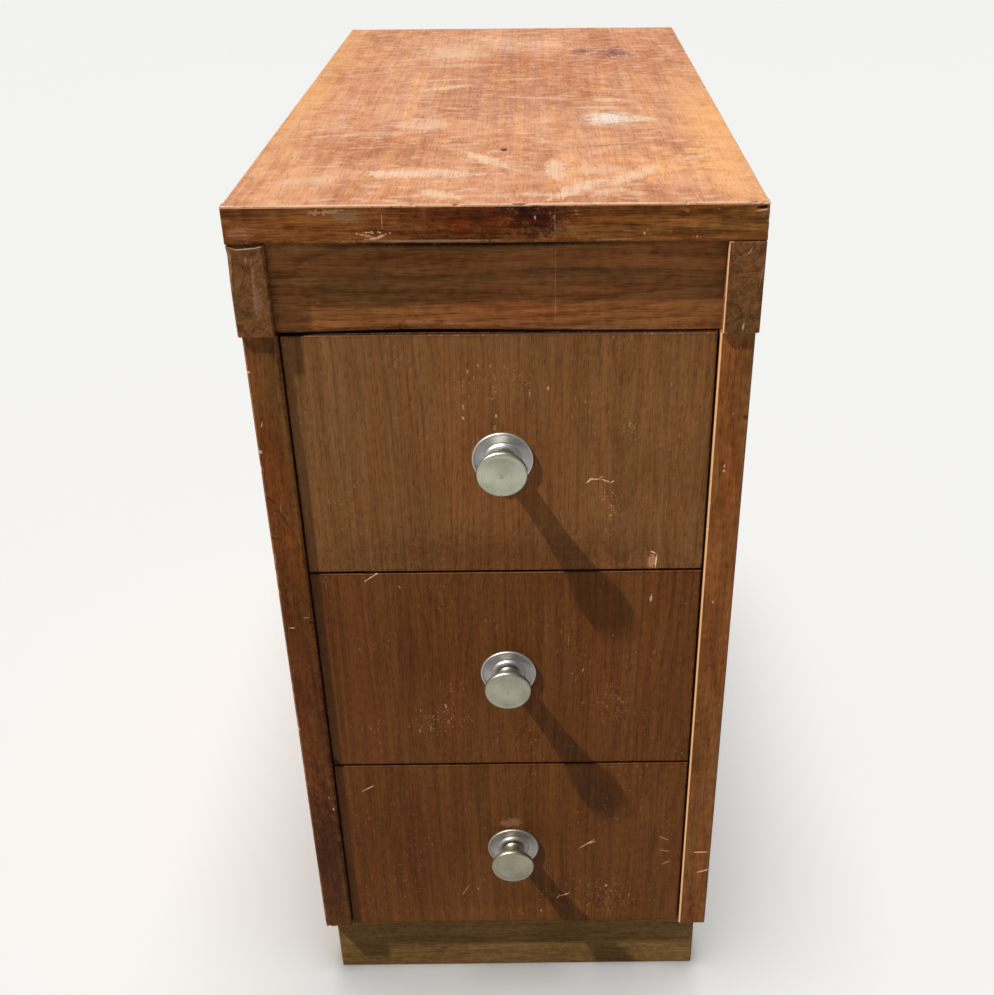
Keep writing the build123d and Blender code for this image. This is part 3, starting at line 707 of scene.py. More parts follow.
@dataclass
class Board:
    """A board copied from its CAD node, with worn arrises round the named outer planes."""

    node: str
    body: str
    finish: WoodFinish
    worn: tuple[str, ...] = ()
    faces: tuple[tuple[str, WoodFinish], ...] = ()
    arris: float = 0.0006
    rub: float = 0.0002
    chips: float = 0.0012
    chip_start: float = 0.34
    baring: float = 0.35
    bared: tuple[tuple[str, float], ...] = ()
    nicks: tuple[Nick, ...] = ()
    spacing: float = 0.0016
    seed: float = 0.0

    def clean_copy(self) -> bmesh.types.BMesh:
        """Copy the CAD mesh with its doubles merged and its flat faces joined."""
        copy = bmesh.new()
        copy.from_mesh(frame["nodes"][self.node].data)
        bmesh.ops.remove_doubles(copy, verts=copy.verts, dist=MERGE_DISTANCE)
        bmesh.ops.dissolve_limit(copy, angle_limit=FLAT_ANGLE, verts=copy.verts, edges=copy.edges)
        copy.faces.layers.float.new(WEAR)
        return copy

    @cached_property
    def planes(self) -> dict[str, tuple[int, float]]:
        """Name the six outer planes, each with its axis and place."""
        low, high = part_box(self.node)
        named = {}
        for axis, letter in enumerate("xyz"):
            named[letter + "-"] = (axis, low[axis])
            named[letter + "+"] = (axis, high[axis])
        return named

    def planes_at(self, place: Vector, reach: float) -> set[str]:
        """List the outer planes that lie within reach of a place."""
        planes = self.planes.items()
        return {name for name, (axis, value) in planes if abs(place[axis] - value) < reach}

    def is_worn(self, names: set[str]) -> bool:
        """Tell whether two outer planes meet here and one of them wears."""
        axes = {name[0] for name in names}
        return len(axes) >= 2 and bool(names & set(self.worn))

    def soften(self, mesh: bmesh.types.BMesh) -> bmesh.types.BMesh:
        """Round the sharp arrises between two outer planes.

        Args:
            mesh: The board's mesh, which is freed.

        Returns:
            A copy with round arrises, whose new faces come in the same order in each run.
        """
        sharp = []
        for edge in mesh.edges:
            first, second = (self.planes_at(vert.co, PLANE_TOLERANCE) for vert in edge.verts)
            if self.is_worn(first & second):
                sharp.append(edge)
        if sharp:
            bmesh.ops.bevel(
                mesh,
                geom=sharp,
                offset=self.arris,
                offset_type="OFFSET",
                segments=2,
                profile=0.5,
                affect="EDGES",
                clamp_overlap=True,
            )
        rounded = mesh.copy()
        mesh.free()
        return rounded

    def arris_faces(self, mesh: bmesh.types.BMesh) -> list[bmesh.types.BMFace]:
        """List the slanted faces that lie along a worn arris."""
        found = []
        for face in mesh.faces:
            slanted = max(abs(part) for part in face.normal) < SQUARE
            if slanted and self.is_worn(self.planes_at(face.calc_center_median(), ARRIS_REACH)):
                found.append(face)
        return found

    def split_edge(self, edge: bmesh.types.BMEdge) -> dict[int, bmesh.types.BMVert]:
        """Cut one long edge at even steps along its axis.

        Args:
            edge: An edge of an arris.

        Returns:
            The new vertices by the number of their step, or none where the edge is short or slants.
        """
        run = edge.verts[1].co - edge.verts[0].co
        axis = max(range(3), key=lambda index: abs(run[index]))
        if abs(run[axis]) < STRAIGHT * run.length or run.length < FEWEST_STEPS * self.spacing:
            return {}
        near, far = sorted(edge.verts, key=lambda vert: vert.co[axis])
        low, high = near.co[axis], far.co[axis]
        first = math.ceil(low / self.spacing + END_STEP)
        last = math.floor(high / self.spacing - END_STEP)
        found = {}
        for step in range(first, last + 1):
            share = (step * self.spacing - near.co[axis]) / (high - near.co[axis])
            _, near = bmesh.utils.edge_split(edge, near, share)
            found[step] = near
        return found

    def divide(self, faces: Sequence[bmesh.types.BMFace]) -> None:
        """Cut the arrises across into short faces."""
        cut: dict[bmesh.types.BMEdge, dict[int, bmesh.types.BMVert]] = {}
        pairs = []
        for face in faces:
            for edge in list(face.edges):
                if edge not in cut and edge.is_valid:
                    cut[edge] = {}
        rims = [(face, list(face.edges)) for face in faces]
        for edge in cut:
            cut[edge] = self.split_edge(edge)
        for face, edges in rims:
            steps = [cut[edge] for edge in edges if cut[edge]]
            if len(steps) == 2:
                common = sorted(set(steps[0]) & set(steps[1]))
                pairs += [(steps[0][key], steps[1][key]) for key in common]
        for first, second in pairs:
            beside = set(second.link_faces)
            for face in [face for face in first.link_faces if face in beside]:
                if not any(edge.other_vert(first) is second for edge in first.link_edges):
                    bmesh.utils.face_split(face, first, second)

    def end_gap(self, place: Vector) -> float:
        """Give how far a place on an arris lies from the nearer end of the arris."""
        gaps = [math.inf] * 3
        for axis, value in self.planes.values():
            gaps[axis] = min(gaps[axis], abs(place[axis] - value))
        return max(gaps)

    def depth_at(self, place: Vector) -> float:
        """Give how far the arris is worn back at a place."""
        shift = Vector((self.seed, self.seed * 2, self.seed * 3))
        layers = [noise.noise(place * waves + shift) for waves in WEAR_WAVES]
        chip = sum(weight * layer for weight, layer in zip(CHIP_WEIGHTS, layers)) - self.chip_start
        depth = self.rub * (1 + layers[0]) + self.chips * min(1.0, 2 * max(0.0, chip))
        return depth + sum(nick.depth_at(place) for nick in self.nicks)

    def short_of_neighbours(self, vert: bmesh.types.BMVert, shift: Vector) -> Vector:
        """Shorten a push that would carry a corner past its neighbour on a straight edge."""
        share = 1.0
        for edge in vert.link_edges:
            run = edge.other_vert(vert).co - vert.co
            if max(abs(part) for part in run) > STRAIGHT * run.length > 0.0:
                ahead = shift.dot(run) / run.length_squared
                if ahead > NEIGHBOUR_SHARE:
                    share = min(share, NEIGHBOUR_SHARE / ahead)
        return shift * share

    def push(self, faces: Sequence[bmesh.types.BMFace]) -> None:
        """Push the arrises back along the faces beside them, corner by corner."""
        slants: dict[bmesh.types.BMVert, Vector] = {}
        for face in faces:
            for vert in face.verts:
                slants[vert] = slants.get(vert, Vector()) + face.normal
        banded = set(faces)
        for vert, slant in slants.items():
            slant.normalize()
            free = slant.copy()
            for face in vert.link_faces:
                if face not in banded:
                    free -= face.normal * free.dot(face.normal)
            place = vert.co.copy()
            for name in self.planes_at(place, ARRIS_REACH):
                axis, value = self.planes[name]
                place[axis] = value
            lean = slant.dot(free)
            if lean > LEAST_LEAN:
                depth = min(self.depth_at(place), END_DEPTH + END_SLOPE * self.end_gap(vert.co))
                vert.co += self.short_of_neighbours(vert, free * (-depth / lean))

    def bareness(self, face: bmesh.types.BMFace) -> float:
        """Give how bare the wood is on an arris face."""
        names = self.planes_at(face.calc_center_median(), ARRIS_REACH)
        amount = self.baring
        for name, share in self.bared:
            if name in names:
                amount = share
        return amount

    def face_number(self, normal: Vector) -> int:
        """Give the material number of a face: 0, or the number of the finish of its own side."""
        number = 0
        for index, (name, _) in enumerate(self.faces):
            axis, _ = self.planes[name]
            side = 1 if name[1] == "+" else -1
            if normal[axis] * side > FACE_LEAN:
                number = index + 1
        return number

    def build(self) -> None:
        """Build the board and put it in its node's place, or dress the CAD mesh where nothing wears."""
        if not self.worn:
            piece = frame["nodes"][self.node]
            piece.data.materials.clear()
            piece.data.materials.append(self.finish.material())
            log.info("%s keeps its CAD mesh", self.node)
            return
        shaped = self.soften(self.clean_copy())
        self.divide(self.arris_faces(shaped))
        faces = self.arris_faces(shaped)
        self.push(faces)
        wear = shaped.faces.layers.float[WEAR]
        banded = set(faces)
        for face in shaped.faces:
            face.smooth = False
            face.material_index = self.face_number(face.normal)
            if face in banded:
                face[wear] = self.bareness(face)
        mesh = bpy.data.meshes.new(f"{self.node}_worn")
        shaped.to_mesh(mesh)
        shaped.free()
        for finish in (self.finish, *(finish for _, finish in self.faces)):
            mesh.materials.append(finish.material())
        hand_over(new_piece(mesh.name, mesh), self.body, self.finish.slot, self.node)


def tree_of(name: str, inputs: dict[str, str]) -> tuple[Graph, dict[str, Signal], dict[str, str]]:
    """Start a geometry tree with named inputs.

    Args:
        name: The tree's name.
        inputs: The type of each input, by name.

    Returns:
        The graph, its inputs as signals, and each input's identifier.
    """
    tree = bpy.data.node_groups.new(name, "GeometryNodeTree")
    tree.interface.new_socket(name="Geometry", in_out="OUTPUT", socket_type="NodeSocketGeometry")
    identifiers = {}
    for label, kind in inputs.items():
        made = tree.interface.new_socket(name=label, in_out="INPUT", socket_type=kind)
        identifiers[label] = made.identifier
    graph = Graph(tree)
    entry = tree.nodes.new("NodeGroupInput")
    signals = {label: Signal(graph, entry.outputs[label]) for label in inputs}
    return graph, signals, identifiers


def finish_tree(graph: Graph, shape: Signal, material: Signal) -> None:
    """End a geometry tree: real geometry, then its material."""
    real = graph.node("GeometryNodeRealizeInstances", None, {"Geometry": shape})
    painted = graph.node("GeometryNodeSetMaterial", None, {"Geometry": real, "Material": material})
    graph.node("NodeGroupOutput", None, {"Geometry": painted})


def run_tree(
    name: str,
    start: bpy.types.Mesh,
    graph: Graph,
    identifiers: dict[str, str],
    values: dict[str, Any],
) -> bpy.types.Mesh:
    """Run a geometry tree on a mesh, and give the result as a plain mesh.

    Args:
        name: The name of the finished mesh.
        start: The mesh that the tree starts from.
        graph: The tree's graph.
        identifiers: Each input's identifier, by name.
        values: Each input's value, by name.

    Returns:
        The finished mesh, its normals outward.
    """
    holder = new_piece(f"{name}_start", start)
    modifier = holder.modifiers.new("Tree", "NODES")
    modifier.node_group = graph.tree
    for label, value in values.items():
        modifier[identifiers[label]] = value
    depsgraph = bpy.context.evaluated_depsgraph_get()
    mesh = bpy.data.meshes.new_from_object(holder.evaluated_get(depsgraph), depsgraph=depsgraph)
    mesh.name = name
    bpy.data.objects.remove(holder)
    shaped = bmesh.new()
    shaped.from_mesh(mesh)
    bmesh.ops.remove_doubles(shaped, verts=shaped.verts, dist=MERGE_DISTANCE)
    bmesh.ops.recalc_face_normals(shaped, faces=shaped.faces)
    shaped.to_mesh(mesh)
    shaped.free()
    return mesh


def arc(centre: tuple[float, float], radius: float, start: float, end: float, steps: int) -> list[tuple]:
    """List points on an arc of a profile, angles in degrees from the radius axis."""
    points = []
    for index in range(steps + 1):
        angle = math.radians(start + (end - start) * index / steps)
        points.append((centre[0] + radius * math.cos(angle), centre[1] + radius * math.sin(angle)))
    return points


class Lathe:
    """Turns profiles round an axis that points out of a drawer's front."""

    steps: int = 96

    def __init__(self) -> None:
        """Build the tree that turns a profile."""
        self.graph, inputs, self.identifiers = tree_of(
            "Turned Piece",
            {
                "Geometry": "NodeSocketGeometry",
                "Steps Around": "NodeSocketInt",
                "Centre": "NodeSocketVector",
                "Material": "NodeSocketMaterial",
            },
        )
        graph = self.graph
        around = inputs["Steps Around"]
        rows = graph.node("GeometryNodeAttributeDomainSize", None, {"Geometry": inputs["Geometry"]})
        grid = graph.node("GeometryNodeMeshGrid", None, {"Vertices X": around + 1, "Vertices Y": rows})
        index = graph.node("GeometryNodeInputIndex")
        row = index % rows
        column = graph.node("ShaderNodeMath", {"operation": "FLOOR"}, {0: index / rows})
        place = graph.node("GeometryNodeInputPosition")
        profile = graph.node(
            "GeometryNodeSampleIndex",
            {"data_type": "FLOAT_VECTOR", "domain": "POINT"},
            {"Geometry": inputs["Geometry"], "Value": place, "Index": row},
        )
        angle = column * WHOLE_TURN / around
        radius, height = graph.part(profile, 0), graph.part(profile, 2)
        cosine = graph.node("ShaderNodeMath", {"operation": "COSINE"}, {0: angle})
        sine = graph.node("ShaderNodeMath", {"operation": "SINE"}, {0: angle})
        ring = graph.node(
            "ShaderNodeCombineXYZ", None, {"X": radius * cosine, "Y": height * -1.0, "Z": radius * sine}
        )
        moved = graph.vector("ADD", {0: ring, 1: inputs["Centre"]})
        shaped = graph.node("GeometryNodeSetPosition", None, {"Geometry": grid, "Position": moved})
        merged = graph.node(
            "GeometryNodeMergeByDistance", None, {"Geometry": shaped, "Distance": MERGE_DISTANCE}
        )
        smooth = graph.node("GeometryNodeSetShadeSmooth", None, {"Geometry": merged})
        finish_tree(graph, smooth, inputs["Material"])

    def turn(
        self, name: str, profile: Sequence[tuple], centre: Vector, finish: Finish
    ) -> bpy.types.Mesh:
        """Turn a profile.

        Args:
            name: The finished mesh's name.
            profile: Radius and height of each point, from pole to pole.
            centre: Where the axis leaves the drawer's face.
            finish: The metal's finish.

        Returns:
            A closed mesh with smooth faces.
        """
        start = bpy.data.meshes.new(f"{name}_profile")
        points = [(radius, 0.0, height) for radius, height in profile]
        start.from_pydata(points, [(at, at + 1) for at in range(len(points) - 1)], [])
        values = {"Steps Around": self.steps, "Centre": tuple(centre), "Material": finish.material()}
        return run_tree(name, start, self.graph, self.identifiers, values)


@dataclass(frozen=True)
class FastenerSize:
    """The sizes of one kind of screw or pin."""

    head: float
    head_foot: float
    head_height: float
    shank: float
    length: float
    slot: float = 0.0


class Fasteners:
    """Sets screws and pins where the CAD model has them."""

    head_sides: int = 24
    shank_sides: int = 16
    slot_reach: float = 3.0

    def __init__(self) -> None:
        """Build the tree that sets a row of fasteners."""
        self.graph, inputs, self.identifiers = tree_of(
            "Fastener Row",
            {
                "Geometry": "NodeSocketGeometry",
                "Head Radius": "NodeSocketFloat",
                "Head Foot Radius": "NodeSocketFloat",
                "Head Height": "NodeSocketFloat",
                "Shank Radius": "NodeSocketFloat",
                "Shank Length": "NodeSocketFloat",
                "Slot Width": "NodeSocketFloat",
                "Slotted": "NodeSocketBool",
                "Seed": "NodeSocketInt",
                "Material": "NodeSocketMaterial",
            },
        )
        graph = self.graph
        head_radius, head_height = inputs["Head Radius"], inputs["Head Height"]
        length = inputs["Shank Length"]
        head = graph.node(
            "GeometryNodeMeshCone",
            None,
            {
                "Vertices": self.head_sides,
                "Radius Top": head_radius,
                "Radius Bottom": inputs["Head Foot Radius"],
                "Depth": head_height,
            },
        )
        head = self.lowered(head, head_height * -1.0)
        slot_sides = {"X": head_radius * self.slot_reach, "Y": inputs["Slot Width"], "Z": head_height}
        slot_size = graph.node("ShaderNodeCombineXYZ", None, slot_sides)
        slot = graph.node("GeometryNodeMeshCube", None, {"Size": slot_size})
        cut = graph.node(
            "GeometryNodeMeshBoolean", {"operation": "DIFFERENCE"}, {"Mesh 1": head, "Mesh 2": slot}
        )
        head = graph.node(
            "GeometryNodeSwitch",
            {"input_type": "GEOMETRY"},
            {"Switch": inputs["Slotted"], "False": head, "True": cut},
        )
        shank = graph.node(
            "GeometryNodeMeshCylinder",
            None,
            {"Vertices": self.shank_sides, "Radius": inputs["Shank Radius"], "Depth": length},
        )
        shank = self.lowered(shank, (head_height + length / 2) * -1.0)
        join = graph.tree.nodes.new("GeometryNodeJoinGeometry")
        for form in (head, shank):
            graph.tree.links.new(form.socket, join.inputs[0])
        one = Signal(graph, join.outputs[0])
        facing = graph.node(
            "GeometryNodeInputNamedAttribute", {"data_type": "FLOAT_VECTOR"}, {"Name": "facing"}
        )
        aligned = graph.node("FunctionNodeAlignRotationToVector", {"axis": "Z"}, {"Vector": facing})
        chance = graph.node(
            "FunctionNodeRandomValue",
            {"data_type": "FLOAT"},
            {2: 0.0, 3: WHOLE_TURN, "Seed": inputs["Seed"]},
            1,
        )
        spin = graph.node("FunctionNodeAxisAngleToRotation", None, {"Angle": chance})
        turned = graph.node(
            "FunctionNodeRotateRotation",
            {"rotation_space": "LOCAL"},
            {"Rotation": aligned, "Rotate By": spin},
        )
        placed = graph.node(
            "GeometryNodeInstanceOnPoints",
            None,
            {"Points": inputs["Geometry"], "Instance": one, "Rotation": turned},
        )
        finish_tree(graph, placed, inputs["Material"])

    def lowered(self, shape: Signal, height: Signal) -> Signal:
        """Move a shape along Z by a signal."""
        shift = self.graph.node("ShaderNodeCombineXYZ", None, {"Z": height})
        return self.graph.node("GeometryNodeTransform", None, {"Geometry": shape, "Translation": shift})

    def sites(self, node: str) -> list[tuple[Vector, Vector]]:
        """Find where each fastener's head is, and which way it faces.

        Args:
            node: A CAD node whose solids are screws or pins.

        Returns:
            The middle of each head's top and its outward direction.
        """
        copy = bmesh.new()
        copy.from_mesh(frame["nodes"][node].data)
        bmesh.ops.remove_doubles(copy, verts=copy.verts, dist=MERGE_DISTANCE)
        left = set(copy.verts)
        found = []
        for first in copy.verts:
            if first not in left:
                continue
            left.discard(first)
            queue, island = [first], []
            while queue:
                vert = queue.pop()
                island.append(vert.co.copy())
                for edge in vert.link_edges:
                    other = edge.other_vert(vert)
                    if other in left:
                        left.discard(other)
                        queue.append(other)
            found.append(self.head_of(island))
        copy.free()
        return found

    def head_of(self, island: Sequence[Vector]) -> tuple[Vector, Vector]:
        """Find the wide end of one fastener, and its outward direction."""
        low = Vector(min(point[axis] for point in island) for axis in range(3))
        high = Vector(max(point[axis] for point in island) for axis in range(3))
        axis = max(range(3), key=lambda index: high[index] - low[index])
        middle = (low + high) / 2
        spans = {}
        for side, end in ((-1, low[axis]), (1, high[axis])):
            ring = [point for point in island if abs(point[axis] - end) < PLANE_TOLERANCE]
            spans[side] = max((point - middle).cross(self.unit(axis)).length for point in ring)
        side = max(spans, key=lambda key: spans[key])
        head = middle.copy()
        head[axis] = high[axis] if side > 0 else low[axis]
        return head, self.unit(axis) * side

    def unit(self, axis: int) -> Vector:
        """Give the unit vector of an axis."""
        direction = Vector((0.0, 0.0, 0.0))
        direction[axis] = 1.0
        return direction

    def set_row(self, node: str, body: str, size: FastenerSize, finish: Finish, seed: int) -> None:
        """Put modelled fasteners in the place of a CAD node's.

        Args:
            node: The CAD node that holds the fasteners.
            body: The CAD body that they move with.
            size: The sizes of one fastener.
            finish: The metal's finish.
            seed: What the slots' angles are drawn from.
        """
        sites = self.sites(node)
        start = bpy.data.meshes.new(f"{node}_sites")
        start.from_pydata([tuple(place) for place, _ in sites], [], [])
        facing = start.attributes.new("facing", "FLOAT_VECTOR", "POINT")
        facing.data.foreach_set("vector", [part for _, way in sites for part in way])
        values = {
            "Head Radius": size.head,
            "Head Foot Radius": size.head_foot,
            "Head Height": size.head_height,
            "Shank Radius": size.shank,
            "Shank Length": size.length,
            "Slot Width": size.slot,
            "Slotted": size.slot > 0,
            "Seed": seed,
            "Material": finish.material(),
        }
        mesh = run_tree(f"{node}_set", start, self.graph, self.identifiers, values)
        hand_over(new_piece(f"{node}_set", mesh), body, finish.slot, node)


def tone(red: int, green: int, blue: int) -> Colour:
    """Give the linear colour of 8-bit display values, by the sRGB curve."""
    parts = []
    for value in (red, green, blue):
        share = value / 255
        parts.append(share / 12.92 if share <= 0.04045 else ((share + 0.055) / 1.055) ** 2.4)
    return shade(*parts)


PALE = tone(159, 133, 111)
SCRATCH = tone(222, 170, 140)
SPECK = tone(184, 138, 90)

# How far the marks reach into the wood, and how far some of them stand outside their face.
TOP_MARK_DEPTH = 0.01
FRONT_MARK_DEPTH = 0.004
SPECK_DEPTH = 0.001
SPECK_LIFT = 0.0013
POST_LINE_DEPTH = 0.0005
POST_LINE_LIFT = 0.0002


@dataclass(frozen=True)
class Front:
    """An upright face at the front of a board, whose marks are placed by x and height."""

    y: float

    @classmethod
    def of(cls, node: str) -> "Front":
        """Take the front face of a CAD node."""
        return cls(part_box(node)[0].y)

    def mark(
        self, x: float, z: float, long: float, wide: float, angle: float, colour: Colour, **rest: Any
    ) -> Mark:
        """Put a mark, its length turned by an angle in degrees."""
        radii = (long, FRONT_MARK_DEPTH, wide)
        return Mark((x, self.y, z), radii, colour, turn=(0.0, -angle, 0.0), **rest)

    def scratch(
        self,
        x: float,
        z: float,
        long: float,
        wide: float,
        angle: float,
        strength: float,
        ragged: float = 0.6,
        **rest: Any,
    ) -> Mark:
        """Put a thin pale scratch, turned by an angle in degrees."""
        return self.mark(x, z, long, wide, angle, SCRATCH, strength=strength, ragged=ragged, **rest)

    def dots(self, size: float, *places: tuple[float, float]) -> tuple[Mark, ...]:
        """Put small pale knocks."""
        rest = {"strength": 0.6, "ragged": 0.9, "gritty": 1.6, "softness": 0.9}
        return tuple(self.scratch(x, z, size, size * 2, 0, **rest) for x, z in places)

    def wash(
        self, x: float, z: float, long: float, wide: float, colour: Colour, strength: float = 1.0
    ) -> Mark:
        """Tint a wide part, with a soft rim."""
        rest = {"strength": strength, "softness": 0.95, "blend": Blend.TINT}
        return self.mark(x, z, long, wide, 0, colour, **rest)

    def specks(self, x: float, z: float, wide: float, tall: float, strength: float = 0.5) -> Mark:
        """Scatter short pale specks over a part."""
        rest = {"ragged": 0.5, "gritty": 1.7, "streaks": 0.9, "softness": 0.4}
        centre = (x, self.y - SPECK_LIFT, z)
        return Mark(centre, (wide, SPECK_DEPTH, tall), SPECK, strength, **rest)


LIPPING_FRONT = Front.of("top_front_lipping")
RAIL_FRONT = Front.of("front_rail")
BLOCK_FRONT = Front.of("frieze_rail_right")
POST_FRONT = Front.of("front_post_right")
DRAWER_FRONT = Front.of("drawer_1_front")
POST_INNER_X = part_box("front_post_right")[0].x
FACE_TOP_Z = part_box("drawer_1_front")[1].z
TOP_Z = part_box("top_board")[1].z


def on_top(
    x: float, y: float, long: float, wide: float, angle: float, colour: Colour, **rest: Any
) -> Mark:
    """Put a mark on the top, its length turned by an angle in degrees."""
    radii = (long, wide, TOP_MARK_DEPTH)
    return Mark((x, y, TOP_Z), radii, colour, turn=(0.0, 0.0, angle), **rest)


def top_wash(
    x: float,
    y: float,
    long: float,
    wide: float,
    angle: float,
    colour: Colour,
    ragged: float,
    softness: float = 0.9,
) -> Mark:
    """Tint a wide part of the top, with a soft rim."""
    rest = {"ragged": ragged, "softness": softness, "blend": Blend.TINT}
    return on_top(x, y, long, wide, angle, colour, **rest)


def leaf(x: float, y: float, long: float, wide: float, angle: float, strength: float) -> Mark:
    """Put a pale leaf-shaped scuff on the top."""
    rest = {"ragged": 0.5, "gritty": 0.8, "softness": 0.6, "streaks": 0.3, "broken": 0.45}
    return on_top(x, y, long, wide, angle, PALE, strength=strength, pointed=True, **rest)


def post_line(back: float, deep: float, z: float, long: float, colour: Colour) -> Mark:
    """Put a thin upright mark on the right front post's inner face, some way behind its front."""
    centre = (POST_INNER_X - POST_LINE_LIFT, POST_FRONT.y + back, z)
    radii = (POST_LINE_DEPTH, deep, long)
    return Mark(centre, radii, colour, ragged=0.2, gritty=0.3, softness=0.3)


TOP_MARKS = (
    on_top(
        -0.176, 0.02, 0.04, 0.36, 0, tone(162, 119, 71), strength=0.5, ragged=0.9, softness=0.95
    ),
    on_top(
        0.176, -0.12, 0.05, 0.32, 0, tone(165, 120, 71), strength=0.55, ragged=0.9, softness=0.95
    ),
    top_wash(0.02, 0.1, 0.13, 0.16, 10, shade(0.88, 0.8, 0.78), 1.0),
    top_wash(-0.09, -0.17, 0.08, 0.05, 0, shade(0.86, 0.79, 0.74), 1.2),
    top_wash(0.1, -0.21, 0.08, 0.05, 20, shade(1.14, 1.14, 1.02), 1.0),
    top_wash(0.0, -0.02, 0.11, 0.08, 0, shade(0.88, 0.86, 0.88), 0.9),
    leaf(-0.053, -0.22, 0.052, 0.013, -4, 0.8),
    leaf(-0.072, -0.222, 0.024, 0.01, -3, 0.9),
    leaf(-0.009, -0.19, 0.032, 0.009, -50, 0.85),
    leaf(-0.038, -0.266, 0.02, 0.009, -33, 0.8),
    leaf(0.053, -0.258, 0.038, 0.01, 49, 0.85),
    leaf(0.094, -0.228, 0.036, 0.01, 50, 0.75),
    leaf(0.04, -0.216, 0.032, 0.01, -86, 0.8),
    leaf(-0.052, 0.03, 0.032, 0.008, 24, 0.8),
    leaf(-0.062, -0.095, 0.028, 0.026, 0, 0.6),
    leaf(-0.1, -0.12, 0.05, 0.008, 8, 0.4),
    leaf(0.142, -0.186, 0.024, 0.006, 20, 0.5),
    leaf(0.02, -0.268, 0.06, 0.006, 3, 0.4),
    leaf(-0.13, -0.235, 0.03, 0.014, 12, 0.4),
    leaf(-0.04, 0.12, 0.05, 0.01, 6, 0.45),
    leaf(-0.055, 0.06, 0.024, 0.005, 14, 0.6),
    leaf(0.012, 0.06, 0.026, 0.006, 8, 0.5),
    leaf(0.03, -0.01, 0.05, 0.005, -8, 0.4),
    leaf(0.089, -0.018, 0.016, 0.009, 0, 0.75),
    leaf(0.076, -0.044, 0.026, 0.006, 0, 0.55),
    leaf(0.075, -0.262, 0.02, 0.008, 40, 0.6),
    leaf(0.07, -0.214, 0.024, 0.016, 15, 0.45),
    on_top(
        0.085, -0.079, 0.029, 0.027, 2, tone(158, 148, 136), strength=1.0, ragged=0.5, softness=0.8,
        broken=0.3,
    ),
    on_top(
        0.11, -0.08, 0.02, 0.012, 0, tone(156, 136, 114), strength=0.75, ragged=0.7, softness=0.8
    ),
    top_wash(0.0, 0.215, 0.1, 0.08, 0, shade(1.1, 1.28, 1.5), 0.6, 0.95),
    on_top(
        -0.056, 0.172, 0.046, 0.046, 0, PALE, strength=0.55, ragged=0.9, softness=0.9, streaks=0.8
    ),
    on_top(
        0.072, 0.181, 0.017, 0.022, -8, tone(84, 50, 52), strength=0.7, ragged=0.9, gritty=1.0,
        softness=0.9,
    ),
    on_top(
        0.104, 0.172, 0.023, 0.03, 0, tone(80, 46, 52), strength=0.75, ragged=0.9, gritty=1.0,
        softness=0.9,
    ),
    top_wash(0.1, 0.23, 0.05, 0.07, 0, shade(0.92, 0.8, 0.78), 0.8, 0.95),
    on_top(
        0.084, -0.154, 0.034, 0.003, 14, tone(92, 56, 38), strength=0.5, ragged=0.9, softness=0.9
    ),
    on_top(
        0.003, -0.165, 0.0036, 0.0056, 0, tone(40, 26, 22), strength=0.9, ragged=0.4, softness=0.6
    ),
)

LIPPING_MARKS = (
    LIPPING_FRONT.wash(-0.005, 0.7535, 0.085, 0.026, shade(0.56, 0.34, 0.17)),
    LIPPING_FRONT.wash(0.027, 0.7555, 0.028, 0.019, shade(0.32, 0.23, 0.34)),
    LIPPING_FRONT.wash(-0.024, 0.75, 0.012, 0.012, shade(1.3, 1.0, 0.9), 0.8),
    LIPPING_FRONT.wash(0.038, 0.7475, 0.02, 0.006, shade(1.2, 1.5, 2.6), 0.8),
    LIPPING_FRONT.wash(0.14, 0.751, 0.07, 0.022, shade(1.2, 1.3, 1.36)),
    LIPPING_FRONT.mark(
        0.014, 0.763, 0.024, 0.004, 0, tone(27, 13, 13), strength=0.85, ragged=0.8, softness=0.8
    ),
    LIPPING_FRONT.mark(-0.05, 0.7399, 0.07, 0.001, 0, tone(150, 118, 92), strength=0.6, ragged=0.7),
    LIPPING_FRONT.mark(
        0.077, 0.7399, 0.016, 0.0008, 0, tone(150, 118, 92), strength=0.5, ragged=0.7
    ),
    LIPPING_FRONT.scratch(-0.086, 0.7442, 0.0065, 0.0008, -12, 0.5, 0.7, gritty=1.8),
    LIPPING_FRONT.scratch(-0.079, 0.742, 0.006, 0.0009, 8, 0.5, 0.7, gritty=1.8),
    LIPPING_FRONT.scratch(-0.073, 0.744, 0.004, 0.0008, 24, 0.6, 0.7, gritty=1.8),
    LIPPING_FRONT.scratch(-0.081, 0.746, 0.006, 0.0007, 0, 0.6, 0.7, gritty=1.8),
    LIPPING_FRONT.scratch(-0.11, 0.76, 0.012, 0.002, 0, 0.25, 0.7, gritty=2.0),
    LIPPING_FRONT.mark(
        -0.097, 0.7585, 0.014, 0.006, -14, tone(134, 108, 74), strength=0.5, streaks=1.0, broken=0.6
    ),
    LIPPING_FRONT.mark(
        -0.1665, 0.7455, 0.009, 0.006, 0, tone(178, 124, 98), strength=0.35, streaks=1.4, broken=0.8
    ),
    LIPPING_FRONT.scratch(0.0383, 0.751, 0.013, 0.0005, 90, 0.12, 0.3),
    LIPPING_FRONT.scratch(-0.0733, 0.754, 0.006, 0.0005, 88, 0.35, 0.5),
    LIPPING_FRONT.mark(
        0.1728, 0.7612, 0.006, 0.0013, 5, tone(16, 9, 7), strength=1.0, ragged=0.2, gritty=0.2
    ),
    LIPPING_FRONT.scratch(0.1728, 0.7592, 0.006, 0.0007, 8, 0.7, 0.2, gritty=0.4),
    *LIPPING_FRONT.dots(
        0.0008, (0.0254, 0.7552), (0.0352, 0.758), (0.0376, 0.7556), (0.0964, 0.744),
        (0.1307, 0.742),
    ),
)

